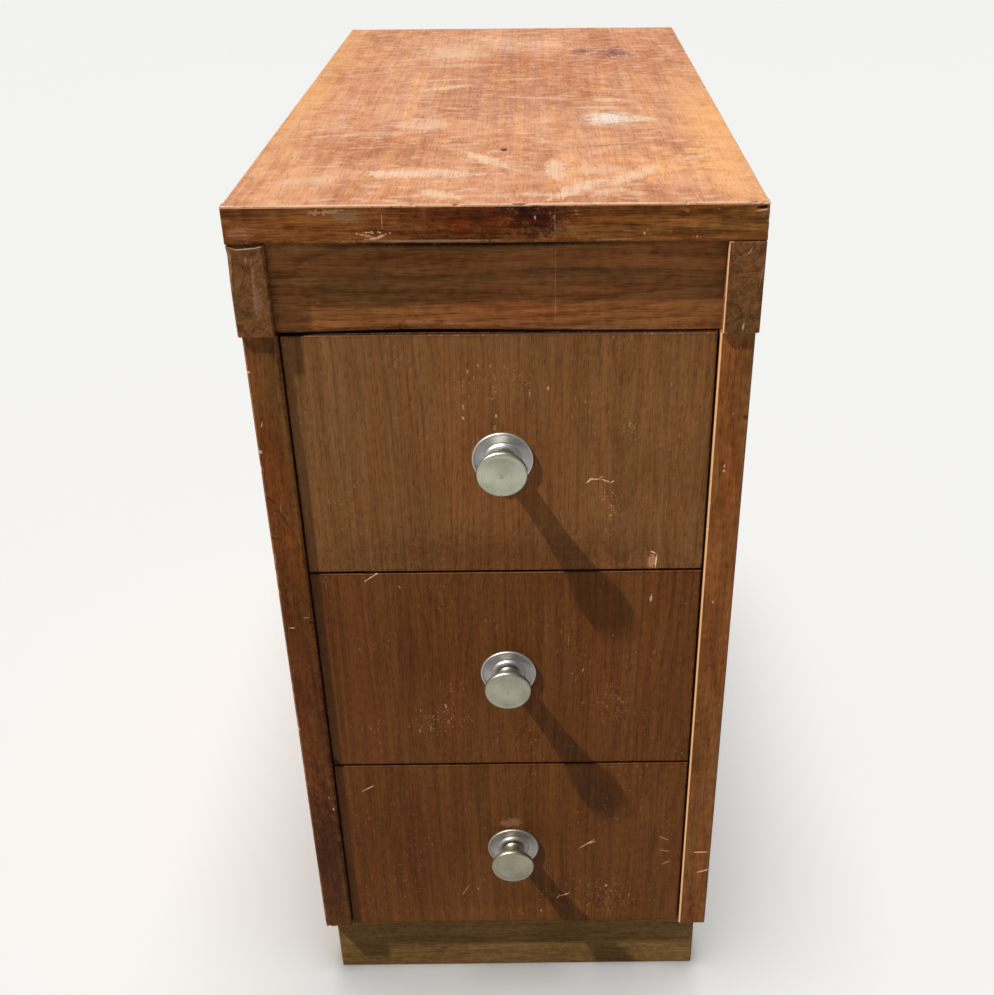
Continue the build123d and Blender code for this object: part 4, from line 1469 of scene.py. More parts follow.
RAIL_MARKS = (
    # Painted shade: a near-black line along the rail's top edge, where the lipping's overhang shades the
    # gap.
    RAIL_FRONT.mark(
        -0.002, 0.735, 0.175, 0.0034, 0, tone(20, 10, 5), ragged=0.15, gritty=0.2, softness=0.9
    ),
    RAIL_FRONT.wash(0.15, 0.675, 0.05, 0.004, shade(0.55, 0.45, 0.45)),
    RAIL_FRONT.mark(
        -0.0545, 0.6775, 0.008, 0.0035, 0, tone(176, 130, 96), strength=0.25, ragged=1.2
    ),
    RAIL_FRONT.mark(
        -0.0354, 0.6775, 0.006, 0.0035, 0, tone(176, 130, 96), strength=0.25, ragged=1.2
    ),
    RAIL_FRONT.scratch(0.0386, 0.705, 0.033, 0.0005, 90, 0.16, 0.3),
)

BLOCK_MARKS = {
    "left": (
        BLOCK_FRONT.scratch(-0.1646, 0.727, 0.006, 0.0005, 80, 0.2, 0.9),
        BLOCK_FRONT.scratch(-0.1615, 0.71, 0.026, 0.0009, 88, 0.12, 0.9),
        BLOCK_FRONT.scratch(-0.16, 0.7, 0.014, 0.005, 88, 0.12, 0.9, softness=0.9),
        BLOCK_FRONT.mark(
            -0.164, 0.736, 0.014, 0.0016, 0, tone(120, 94, 72), strength=0.5, ragged=0.9
        ),
    ),
    "right": (
        BLOCK_FRONT.scratch(0.1662, 0.731, 0.003, 0.0008, 60, 0.3, 0.5, gritty=1.2),
        BLOCK_FRONT.scratch(0.1753, 0.716, 0.01, 0.0005, 84, 0.15, 0.9),
        BLOCK_FRONT.scratch(0.164, 0.706, 0.014, 0.0006, 52, 0.07, 0.9),
        BLOCK_FRONT.scratch(0.1655, 0.676, 0.005, 0.0008, 88, 0.6, 0.5, gritty=1.0),
        BLOCK_FRONT.wash(0.16, 0.685, 0.016, 0.03, shade(0.86, 0.88, 0.78)),
    ),
}

POST_MARKS = {
    "left": (
        POST_FRONT.wash(-0.166, 0.64, 0.03, 0.055, shade(1.05, 1.22, 1.5)),
        POST_FRONT.wash(-0.17, 0.555, 0.03, 0.04, shade(1.06, 0.93, 0.86)),
        POST_FRONT.wash(-0.16, 0.505, 0.012, 0.02, shade(1.14, 1.12, 1.05)),
        POST_FRONT.mark(
            -0.172, 0.54, 0.013, 0.0016, -42, tone(66, 34, 18), strength=0.8, ragged=0.8
        ),
        POST_FRONT.mark(
            -0.163, 0.522, 0.014, 0.0016, -68, tone(66, 34, 18), strength=0.7, ragged=0.8
        ),
        POST_FRONT.mark(
            -0.172, 0.505, 0.008, 0.0014, -30, tone(66, 34, 18), strength=0.7, ragged=0.8
        ),
        POST_FRONT.wash(-0.164, 0.36, 0.03, 0.2, shade(0.82, 0.7, 0.58)),
        POST_FRONT.wash(-0.164, 0.16, 0.03, 0.16, shade(0.52, 0.38, 0.26)),
        POST_FRONT.scratch(-0.1737, 0.644, 0.002, 0.0009, 20, 0.6, 0.8),
        POST_FRONT.scratch(-0.173, 0.58, 0.0016, 0.002, 0, 0.6, 0.8),
        POST_FRONT.scratch(-0.1697, 0.6015, 0.003, 0.0006, 75, 0.6, 0.8),
        POST_FRONT.scratch(-0.168, 0.419, 0.003, 0.0008, 0, 0.7, 0.8),
        POST_FRONT.scratch(-0.156, 0.429, 0.004, 0.0006, 0, 0.35, 0.8),
        *POST_FRONT.dots(0.0009, (-0.1566, 0.233), (-0.154, 0.22)),
    ),
    "right": (
        post_line(0.004, 0.005, 0.4, 0.5, tone(92, 60, 24)),
        # Two pale lines on the post's inner edge: partly worn bare wood, partly a painted highlight
        # where light grazes that edge, brighter on the upper half.
        post_line(0.0, 0.0013, 0.57, 0.11, tone(184, 152, 112)),
        post_line(0.0, 0.0009, 0.29, 0.19, tone(160, 120, 96)),
        POST_FRONT.wash(0.164, 0.56, 0.03, 0.2, shade(1.06, 1.04, 1.0)),
        POST_FRONT.wash(0.164, 0.64, 0.03, 0.06, shade(1.12, 1.16, 1.26)),
        POST_FRONT.wash(0.164, 0.17, 0.03, 0.18, shade(0.84, 0.84, 0.72)),
        POST_FRONT.scratch(0.166, 0.161, 0.008, 0.001, 2, 0.9),
        POST_FRONT.scratch(0.17, 0.137, 0.008, 0.0009, 20, 0.8),
        POST_FRONT.mark(0.174, 0.605, 0.004, 0.0022, 0, tone(74, 20, 14), strength=0.8, ragged=0.8),
        *POST_FRONT.dots(0.0008, (0.164, 0.608), (0.1605, 0.564), (0.1605, 0.56), (0.16, 0.44)),
    ),
}

DRAWER_MARKS = {
    1: (
        DRAWER_FRONT.wash(-0.11, 0.61, 0.085, 0.085, shade(1.02, 1.08, 1.2)),
        DRAWER_FRONT.wash(0.0, 0.56, 0.09, 0.1, shade(1.05, 0.94, 0.9)),
        DRAWER_FRONT.wash(0.1, 0.62, 0.07, 0.07, shade(1.06, 1.1, 1.1)),
        DRAWER_FRONT.wash(0.0, 0.484, 0.19, 0.034, shade(0.7, 0.62, 0.5)),
        DRAWER_FRONT.specks(0.092, 0.594, 0.01, 0.02),
        DRAWER_FRONT.specks(0.079, 0.527, 0.01, 0.028),
        DRAWER_FRONT.specks(-0.117, 0.524, 0.007, 0.024),
        DRAWER_FRONT.specks(-0.01, 0.63, 0.034, 0.018, 0.35),
        # Painted shade: a dark line along drawer 1's top arris, which keeps the lit arris from showing
        # pale.
        DRAWER_FRONT.mark(
            0.0, FACE_TOP_Z, 0.3, 0.0007, 0, tone(58, 34, 17), ragged=0.2, gritty=0.3, softness=0.3
        ),
        DRAWER_FRONT.scratch(0.0625, 0.5506, 0.003, 0.0008, 40, 0.95, 0.8),
        DRAWER_FRONT.scratch(0.067, 0.5522, 0.0046, 0.0006, -6, 0.95),
        DRAWER_FRONT.scratch(0.0745, 0.551, 0.0046, 0.0006, -24, 0.95),
        DRAWER_FRONT.scratch(0.08, 0.55, 0.0026, 0.0007, 40, 0.9),
        DRAWER_FRONT.scratch(0.071, 0.5535, 0.003, 0.0006, 30, 0.7),
        DRAWER_FRONT.mark(
            0.111, 0.4775, 0.0034, 0.0085, 0, tone(170, 120, 88), strength=0.9, ragged=0.4,
            softness=0.3,
        ),
        DRAWER_FRONT.mark(
            0.1144, 0.4775, 0.0008, 0.008, -4, tone(236, 188, 156), strength=1.0, ragged=0.3
        ),
        DRAWER_FRONT.mark(
            0.1122, 0.4862, 0.003, 0.0007, -30, tone(236, 188, 156), strength=0.9, ragged=0.3
        ),
        *DRAWER_FRONT.dots(
            0.001, (-0.0266, 0.614), (-0.027, 0.6045), (-0.0228, 0.6415), (-0.0155, 0.6461)
        ),
        *DRAWER_FRONT.dots(
            0.001, (-0.0069, 0.646), (-0.0039, 0.6063), (-0.0048, 0.5962), (0.0332, 0.6281),
            (0.0202, 0.6224),
        ),
    ),
    2: (
        # Painted highlight: a pale greyish band along drawer 2's top edge, where light catches the
        # arris.
        DRAWER_FRONT.wash(0.0, 0.469, 0.17, 0.003, shade(1.2, 1.36, 1.6)),
        DRAWER_FRONT.wash(-0.08, 0.38, 0.11, 0.1, shade(0.9, 0.84, 0.72)),
        DRAWER_FRONT.wash(0.1, 0.4, 0.07, 0.11, shade(1.1, 1.08, 1.12)),
        DRAWER_FRONT.specks(-0.06, 0.32, 0.03, 0.02, 0.35),
        DRAWER_FRONT.specks(0.085, 0.33, 0.03, 0.03, 0.35),
        DRAWER_FRONT.scratch(-0.1035, 0.465, 0.0085, 0.0008, 37, 0.85),
        DRAWER_FRONT.scratch(-0.0975, 0.47, 0.0028, 0.0008, 60, 0.85),
        DRAWER_FRONT.mark(
            -0.147, 0.272, 0.004, 0.003, -45, tone(40, 20, 12), strength=0.9, ragged=0.8
        ),
        DRAWER_FRONT.scratch(0.112, 0.443, 0.004, 0.0009, 84, 0.6, 0.8),
        *DRAWER_FRONT.dots(
            0.001, (-0.0519, 0.3338), (-0.0747, 0.3066), (-0.082, 0.456), (0.06, 0.37)
        ),
    ),
    3: (
        DRAWER_FRONT.wash(0.0, 0.078, 0.17, 0.02, shade(1.2, 1.3, 1.34)),
        DRAWER_FRONT.wash(0.1, 0.17, 0.07, 0.1, shade(1.1, 1.12, 1.25)),
        DRAWER_FRONT.wash(-0.09, 0.18, 0.08, 0.11, shade(0.9, 0.8, 0.66)),
        DRAWER_FRONT.specks(0.07, 0.105, 0.05, 0.03, 0.35),
        DRAWER_FRONT.scratch(0.065, 0.17, 0.009, 0.0007, 40, 0.8),
        DRAWER_FRONT.scratch(0.069, 0.1715, 0.005, 0.0007, 22, 0.7),
        DRAWER_FRONT.scratch(0.133, 0.176, 0.007, 0.0007, -30, 0.35, 0.9),
        DRAWER_FRONT.scratch(0.135, 0.16, 0.006, 0.0007, -14, 0.35, 0.9),
        DRAWER_FRONT.scratch(0.136, 0.145, 0.006, 0.0007, 34, 0.3, 0.9),
        DRAWER_FRONT.scratch(0.0455, 0.104, 0.006, 0.0008, 24, 0.8),
        DRAWER_FRONT.scratch(0.04, 0.102, 0.003, 0.0008, 60, 0.7),
        DRAWER_FRONT.scratch(-0.044, 0.112, 0.009, 0.0009, 62, 0.25, 0.9),
        DRAWER_FRONT.scratch(-0.123, 0.241, 0.0075, 0.0007, 34, 0.7),
        DRAWER_FRONT.mark(
            -0.002, 0.198, 0.013, 0.006, 0, tone(176, 134, 100), strength=0.3, ragged=0.9
        ),
        *DRAWER_FRONT.dots(0.001, (0.024, 0.083), (-0.033, 0.113), (0.083, 0.115), (-0.118, 0.111)),
    ),
}

# Painted shade: a dark band on drawer 1's top edge face, where the rail above shades it.
DRAWER_TOP_EDGE_SHADE = Mark(
    (0.0, DRAWER_FRONT.y, FACE_TOP_Z),
    (0.5, 0.0032, 0.003),
    tone(28, 17, 9),
    ragged=0.3,
    gritty=0.3,
    softness=0.2,
)

TOP_VENEER = WoodFinish(
    name="top_veneer",
    slot="top_veneer",
    grain=Grain.Y,
    deep=tone(125, 82, 60),
    fair=tone(159, 119, 94),
    bare=PALE,
    blush=shade(0.86, 0.78, 0.74),
    warmth=shade(1.06, 1.04, 0.90),
    seed=1.3,
    streaks=(Streak(0.030, 0.40, 0.25, 2.0), Streak(0.0050, 0.20, 0.15), Streak(0.0016, 0.12, 0.16)),
    rings=Rings(0.10, 1.2, 26.0, 0.12),
    mottle_size=0.014,
    mottle=0.45,
    pore_depth=0.25,
    fleck_share=0.6,
    fleck_colour=tone(181, 149, 121),
    scuff_share=0.5,
    scratch_share=0.06,
    roughness=0.55,
    bump=0.35,
    marks=TOP_MARKS,
)

LIPPING_WOOD = WoodFinish(
    name="lipping_wood",
    slot="lipping",
    grain=Grain.X,
    deep=tone(79, 42, 11),
    fair=tone(131, 85, 41),
    bare=tone(160, 122, 88),
    blush=shade(0.84, 0.86, 0.80),
    warmth=shade(1.14, 0.94, 0.86),
    seed=8.1,
    streaks=(Streak(0.008, 0.12, 0.4, 2.0), Streak(0.0030, 0.05, 0.35), Streak(0.0014, 0.016, 0.35)),
    rings=Rings(0.030, 0.35, 9.0, 0.35),
    mottle=0.3,
    fleck_share=0.75,
    fleck_colour=tone(169, 124, 76),
    roughness=0.45,
)

RAIL_WOOD = replace(
    LIPPING_WOOD,
    name="rail_wood",
    slot="rail_wood",
    deep=tone(97, 56, 24),
    fair=tone(145, 97, 54),
    seed=14.7,
    streaks=(Streak(0.010, 0.20, 0.35, 2.0), Streak(0.0032, 0.07, 0.3), Streak(0.0014, 0.020, 0.3)),
    rings=Rings(0.050, 0.50, 14.0, 0.3),
    fleck_share=0.3,
)

FRIEZE_WOOD = replace(
    LIPPING_WOOD,
    name="frieze_wood",
    slot="frieze_wood",
    grain=Grain.Y,
    bare=tone(172, 130, 92),
    deep=tone(81, 50, 24),
    fair=tone(122, 81, 47),
    warmth=shade(1.02, 1.0, 0.92),
    seed=21.9,
    mottle_size=0.008,
    mottle=0.16,
    fleck_share=0.4,
)

POST_WOOD = replace(
    LIPPING_WOOD,
    name="post_wood",
    slot="post_wood",
    grain=Grain.Z,
    bare=tone(172, 130, 92),
    deep=tone(84, 46, 22),
    fair=tone(132, 82, 48),
    seed=30.3,
    streaks=(Streak(0.010, 0.20, 0.28, 2.0), Streak(0.0032, 0.08, 0.22), Streak(0.0014, 0.024, 0.24)),
    rings=Rings(0.040, 0.30, 9.0, 0.25),
    wobble=0.006,
    fleck_share=0.4,
)

FRONT_VENEER = WoodFinish(
    name="drawer_front_veneer",
    slot="drawer_front_veneer",
    grain=Grain.Z,
    deep=tone(98, 60, 30),
    fair=tone(140, 96, 60),
    bare=tone(168, 124, 88),
    blush=shade(0.94, 0.93, 0.90),
    warmth=shade(1.05, 0.96, 0.91),
    seed=40.1,
    streaks=(Streak(0.012, 0.30, 0.22, 2.0), Streak(0.0034, 0.16, 0.24), Streak(0.0015, 0.055, 0.22)),
    rings=Rings(0.070, 0.90, 22.0, 0.18),
    mottle_size=0.006,
    mottle=0.2,
    pore_depth=0.24,
    fleck_share=0.5,
    fleck_colour=tone(172, 126, 90),
    roughness=0.5,
    wobble=0.002,
)

PANEL_VENEER = replace(
    FRONT_VENEER,
    name="side_panel_veneer",
    slot="side_panel_veneer",
    seed=52.3,
    rings=Rings(0.12, 1.1, 26.0, 0.45),
    fleck_share=0.4,
)

PLINTH_WOOD = replace(
    LIPPING_WOOD,
    name="plinth_wood",
    slot="plinth_wood",
    deep=tone(92, 64, 30),
    fair=tone(134, 99, 58),
    warmth=shade(1.0, 1.02, 0.94),
    seed=61.7,
    streaks=(Streak(0.010, 0.12, 0.25, 2.0), Streak(0.0030, 0.04, 0.25), Streak(0.0014, 0.012, 0.3)),
    mottle_size=0.004,
    mottle=0.35,
    rings=Rings(0.050, 0.50, 12.0, 0.15),
    fleck_share=0.5,
    roughness=0.6,
)

DRAWER_BOX_WOOD = replace(
    FRONT_VENEER,
    name="drawer_box_wood",
    slot="drawer_box_wood",
    grain=Grain.Y,
    deep=tone(158, 118, 76),
    fair=tone(200, 162, 118),
    bare=tone(206, 172, 130),
    blush=shade(0.96, 0.94, 0.90),
    warmth=shade(1.03, 0.98, 0.93),
    seed=70.9,
    rings=Rings(0.050, 0.80, 12.0, 0.45),
    fleck_share=0.0,
    roughness=0.7,
)

INNER_WOOD = replace(
    DRAWER_BOX_WOOD,
    name="inner_wood",
    slot="inner_wood",
    deep=tone(128, 94, 60),
    fair=tone(170, 134, 94),
    seed=77.7,
)

RUNNER_WOOD = replace(DRAWER_BOX_WOOD, name="runner_wood", slot="runner_wood", seed=84.1)

PLYWOOD = replace(
    DRAWER_BOX_WOOD,
    name="plywood",
    slot="plywood",
    grain=Grain.X,
    deep=tone(146, 110, 74),
    fair=tone(190, 152, 110),
    seed=91.3,
    rings=Rings(0.16, 1.2, 30.0, 0.5),
)

KNOB_METAL = MetalFinish(
    name="knob_metal",
    slot="knob_metal",
    bright=tone(186, 186, 168),
    dull=tone(160, 160, 142),
    spots=tone(104, 92, 70),
    roughness=0.42,
    seed=3.3,
)

PLATE_METAL = replace(
    KNOB_METAL,
    name="plate_metal",
    slot="plate_metal",
    bright=tone(192, 189, 189),
    dull=tone(163, 160, 160),
    roughness=0.5,
    seed=9.7,
)

SCREW_STEEL = replace(
    KNOB_METAL,
    name="screw_steel",
    slot="screw_steel",
    bright=tone(150, 140, 122),
    dull=tone(104, 94, 80),
    roughness=0.5,
    seed=15.1,
)

KNOB_SHARE = {1: (1.0, 1.0, 1.0), 2: (0.84, 0.81, 0.80), 3: (0.75, 0.70, 0.65)}

DRAWER_TONES = {
    1: (tone(94, 58, 27), tone(130, 89, 51)),
    2: (tone(76, 40, 10), tone(111, 67, 29)),
    3: (tone(74, 39, 9), tone(109, 66, 26)),
}

POST_TONES = {
    "left": (tone(74, 41, 12), tone(110, 68, 28)),
    "right": (tone(93, 52, 19), tone(137, 88, 45)),
}


def dimmed(colour: Colour, shares: Triple) -> Colour:
    """Darken a colour's red, green and blue by their shares."""
    return shade(*(part * share for part, share in zip(colour, shares)))


def own(finish: WoodFinish, node: str, seed: float, **changes: Any) -> WoodFinish:
    """Give a board its own figure of a wood."""
    return replace(finish, name=f"{node}_wood", seed=seed, **changes)


@dataclass
class Top:
    """The worn top: a veneered board with lippings at the front and sides."""

    body: str = "cabinet"
    arris: float = 0.0012
    chips: float = 0.0016

    def build(self) -> None:
        """Build the board and its lippings."""
        back = own(RAIL_WOOD, "top_board_back", 27.0)
        Board(
            "top_board", self.body, TOP_VENEER, ("y+",), (("y+", back),), arris=self.arris, seed=2.0
        ).build()
        front = replace(
            LIPPING_WOOD, name="top_front_lipping_wood", bare=tone(148, 108, 78), marks=LIPPING_MARKS
        )
        nicks = (
            Nick((0.016, LIPPING_FRONT.y, TOP_Z), 0.006, 0.0018),
            Nick((-0.112, LIPPING_FRONT.y, TOP_Z - 0.024), 0.012, 0.0012),
            Nick((-0.080, LIPPING_FRONT.y, TOP_Z - 0.024), 0.010, 0.0012),
            Nick((0.176, LIPPING_FRONT.y, TOP_Z), 0.005, 0.0016),
        )
        Board(
            "top_front_lipping",
            self.body,
            front,
            ("y-", "x-", "x+"),
            (("z+", TOP_VENEER),),
            arris=self.arris,
            chips=self.chips,
            chip_start=0.28,
            baring=0.8,
            bared=(("z-", 0.35),),
            nicks=nicks,
            seed=3.0,
        ).build()
        for side, plane in (("left", "x-"), ("right", "x+")):
            node = f"top_side_lipping_{side}"
            Board(
                node,
                self.body,
                own(LIPPING_WOOD, node, 4.0 + len(side), grain=Grain.Y),
                (plane, "y+"),
                (("z+", TOP_VENEER),),
                arris=self.arris,
                chips=self.chips,
                baring=0.7,
                bared=(("z-", 0.3),),
                seed=5.0 + len(side),
            ).build()


@dataclass
class Carcase:
    """The framed case: frieze rails, posts, bottom rails, panels and the board at the bottom."""

    body: str = "cabinet"

    @property
    def frieze_top(self) -> float:
        """Give the height of the frieze's upper edge."""
        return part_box("frieze_rail_left")[1].z

    def build(self) -> None:
        """Build the case from the frieze down."""
        self.build_frieze()
        self.build_posts()
        self.build_panels()

    def build_frieze(self) -> None:
        """Build the band of rails under the top, whose side rails show as blocks at the front."""
        for side, plane in (("left", "x-"), ("right", "x+")):
            node = f"frieze_rail_{side}"
            finish = own(FRIEZE_WOOD, node, 20.0 + len(side), marks=BLOCK_MARKS[side])
            chipped = Nick((-0.176, BLOCK_FRONT.y, self.frieze_top), 0.040, 0.0020)
            # The right block's inner arris is left fully bare: partly worn bare wood, partly a painted
            # highlight where light grazes its inner edge.
            bared = (("x-", 1.0),) if side == "right" else ()
            Board(
                node,
                self.body,
                finish,
                (plane, "y-", "y+"),
                arris=0.0005 if side == "left" else 0.0002,
                rub=0.00006,
                chips=0.0010 if side == "left" else 0.0003,
                bared=bared,
                nicks=(chipped,) if side == "left" else (),
                seed=6.0 + len(side),
            ).build()
        Board(
            "front_rail",
            self.body,
            own(RAIL_WOOD, "front_rail", 14.7, marks=RAIL_MARKS),
            ("y-",),
            nicks=(Nick((-0.05, RAIL_FRONT.y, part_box("front_rail")[0].z), 0.12, 0.0020),),
            seed=9.0,
        ).build()
        back = own(RAIL_WOOD, "back_top_rail", 17.7)
        Board("back_top_rail", self.body, back, ("y+",), seed=10.0).build()

    def build_posts(self) -> None:
        """Build the four posts and the bottom rails between them."""
        for end, plane in (("front", "y-"), ("back", "y+")):
            for side, outer in (("left", "x-"), ("right", "x+")):
                node = f"{end}_post_{side}"
                deep, fair = POST_TONES[side]
                marked = POST_MARKS[side] if end == "front" else ()
                seed = 30.0 + 3 * len(side) + len(end)
                finish = own(POST_WOOD, node, seed, deep=deep, fair=fair, marks=marked)
                # The right front post's inner arris is left fully bare: partly worn bare wood, partly a
                # painted highlight where light grazes its inner edge.
                inner = node == "front_post_right"
                Board(
                    node,
                    self.body,
                    finish,
                    (plane, outer),
                    arris=0.00014 if inner else 0.0006,
                    rub=0.00002 if inner else 0.0002,
                    chips=0.0002 if inner else 0.0012,
                    bared=(("x-", 1.0),) if inner else (),
                    seed=11.0 + len(node),
                ).build()
        for side, outer in (("left", "x-"), ("right", "x+")):
            node = f"bottom_rail_{side}"
            deep, fair = POST_TONES[side]
            finish = own(POST_WOOD, node, 44.0 + len(side), grain=Grain.Y, deep=deep, fair=fair)
            Board(node, self.body, finish, (outer,), seed=13.0 + len(side)).build()
        deep, fair = POST_TONES["left"]
        finish = own(POST_WOOD, "back_bottom_rail", 49.0, grain=Grain.X, deep=deep, fair=fair)
        Board("back_bottom_rail", self.body, finish).build()

    def build_panels(self) -> None:
        """Dress the side panels, the back panel and the bottom board."""
        for side in ("left", "right"):
            node = f"side_panel_{side}"
            Board(node, self.body, own(PANEL_VENEER, node, 50.0 + len(side))).build()
        Board("back_panel", self.body, own(PLYWOOD, "back_panel", 57.0, grain=Grain.Z)).build()
        Board("bottom_board", self.body, own(PLYWOOD, "bottom_board", 59.0)).build()


@dataclass
class Plinth:
    """The set-back plinth with its corner blocks."""

    body: str = "cabinet"

    def build(self) -> None:
        """Build the four boards and dress the corner blocks."""
        boards = (
            ("plinth_front", ("y-", "x-", "x+"), Grain.X),
            ("plinth_back", (), Grain.X),
            ("plinth_left", ("x-", "y-"), Grain.Y),
            ("plinth_right", ("x+", "y-"), Grain.Y),
        )
        for index, (node, worn, grain) in enumerate(boards):
            finish = own(PLINTH_WOOD, node, 61.0 + 2 * index, grain=grain)
            Board(node, self.body, finish, worn, chips=0.0016, seed=21.0 + index).build()
        blocks = own(INNER_WOOD, "plinth_corner_blocks", 69.0, grain=Grain.Z)
        Board("plinth_corner_blocks", self.body, blocks).build()


@dataclass
class Runners:
    """The side runners and the buttons that hold the top down."""

    count: int
    body: str = "cabinet"

    def build(self) -> None:
        """Dress the runners and the buttons."""
        for number in range(1, self.count + 1):
            for side in ("left", "right"):
                node = f"runner_{side}_{number}"
                Board(node, self.body, own(RUNNER_WOOD, node, 84.0 + number + len(side))).build()
        Board("top_buttons", self.body, own(INNER_WOOD, "top_buttons", 93.0, grain=Grain.X)).build()


@dataclass
class Knob:
    """A turned metal knob on a dished back plate."""

    number: int
    lathe: Lathe

    @property
    def centre(self) -> Vector:
        """Give where the knob's axis leaves the drawer's face."""
        low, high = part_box(f"drawer_{self.number}_knob_plate")
        return Vector(((low.x + high.x) / 2, high.y, (low.z + high.z) / 2))

    def plate_profile(self) -> list[tuple]:
        """Draw the dished plate with its rolled rim and raised collar."""
        low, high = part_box(f"drawer_{self.number}_knob_plate")
        radius = (high.x - low.x) / 2
        collar = high.y - low.y
        rim = 0.0009
        profile = [(0.0, 0.0), (radius - 0.0003, 0.0), (radius, 0.0003)]
        profile += arc((radius - rim, 0.0020 - rim), rim, 0, 170, 8)
        profile += [(radius - 0.0021, 0.00095), (radius - 0.0030, 0.0007)]
        profile += [(0.0170, 0.00055), (0.0142, 0.0007)]
        profile += arc((0.0133, 0.0015), 0.0006, -75, 20, 4)
        profile += arc((0.0120, collar - 0.0010), 0.0010, 20, 100, 6)
        profile += [(0.0108, collar - 0.0001), (0.0100, collar - 0.0006), (0.0, collar - 0.0006)]
        return profile

    def knob_profile(self) -> list[tuple]:
        """Draw the knob: flared neck, thick rounded rim, slightly domed face and centre dimple."""
        low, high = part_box(f"drawer_{self.number}_knob")
        radius = (high.x - low.x) / 2
        tip = self.centre.y - low.y
        foot = self.centre.y - high.y
        profile = [(0.0, foot), (0.0086, foot), (0.0088, foot + 0.0004), (0.0083, foot + 0.0012)]
        profile += [(0.0080, 0.0060), (0.0082, 0.0085), (0.0090, 0.0110), (0.0106, 0.0137)]
        profile += [(0.0130, 0.0160), (0.0154, 0.0174), (radius - 0.0010, 0.0182)]
        profile += arc((radius - 0.0010, 0.0192), 0.0010, -80, 0, 5)
        profile += arc((radius - 0.0016, 0.0208), 0.0016, 0, 78, 8)
        profile += [(0.0150, 0.02262), (0.0140, 0.02262), (0.0137, 0.02274), (0.0100, 0.02325)]
        profile += [(0.0060, tip - 0.00015), (0.0030, tip), (0.0018, tip), (0.0013, tip - 0.0002)]
        profile += [(0.0006, tip - 0.0005), (0.0, tip - 0.0005)]
        return profile

    def build(self) -> None:
        """Turn the knob and its plate."""
        body = f"drawer_{self.number}"
        centre = self.centre
        for kind, profile, finish in (
            ("knob_plate", self.plate_profile(), PLATE_METAL),
            ("knob", self.knob_profile(), KNOB_METAL),
        ):
            node = f"{body}_{kind}"
            share = KNOB_SHARE[self.number]
            metal = replace(
                finish,
                name=f"{node}_metal",
                bright=dimmed(finish.bright, share),
                dull=dimmed(finish.dull, share),
                centre=tuple(centre),
                seed=finish.seed + 5.3 * self.number,
            )
            mesh = self.lathe.turn(f"{node}_turned", profile, centre, metal)
            hand_over(new_piece(f"{node}_turned", mesh), body, finish.slot, node)


@dataclass
class Drawer:
    """A drawer: veneered front, dovetailed box, plywood bottom and knob."""

    number: int
    lathe: Lathe

    def build(self) -> None:
        """Build the front, dress the box and fit the knob."""
        body = f"drawer_{self.number}"
        node = f"{body}_front"
        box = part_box(node)
        deep, fair = DRAWER_TONES[self.number]
        face = own(
            FRONT_VENEER,
            f"{node}_face",
            40.0 + 3 * self.number,
            deep=deep,
            fair=fair,
            marks=DRAWER_MARKS[self.number],
            # The front is darker within a few millimetres of its edges.
            grime_box=(tuple(box[0]), tuple(box[1])),
            grime_reach=0.004,
            grime=0.35,
        )
        edges = own(
            FRONT_VENEER,
            node,
            46.0 + self.number,
            grain=Grain.X,
            deep=tone(70, 40, 18),
            fair=tone(104, 66, 36),
            # Drawer 1's top edge face carries painted shade.
            marks=(DRAWER_TOP_EDGE_SHADE,) if self.number == 1 else (),
        )
        inside = own(INNER_WOOD, f"{node}_inside", 47.0 + self.number, grain=Grain.X)
        bared = (("z+", 0.2 if self.number > 1 else 0.0),)
        Board(
            node,
            body,
            edges,
            ("y-",),
            (("y-", face), ("y+", inside)),
            arris=0.0003,
            rub=0.00005,
            chips=0.0008,
            bared=bared,
            seed=31.0 + self.number,
        ).build()
        for index, side in enumerate(("left", "right")):
            part = f"{body}_side_{side}"
            Board(part, body, own(DRAWER_BOX_WOOD, part, 70.0 + 2 * self.number + index)).build()
        back = own(DRAWER_BOX_WOOD, f"{body}_back", 76.0 + self.number, grain=Grain.X)
        Board(f"{body}_back", body, back).build()
        Board(f"{body}_bottom", body, own(PLYWOOD, f"{body}_bottom", 91.0 + self.number)).build()
        Knob(self.number, self.lathe).build()


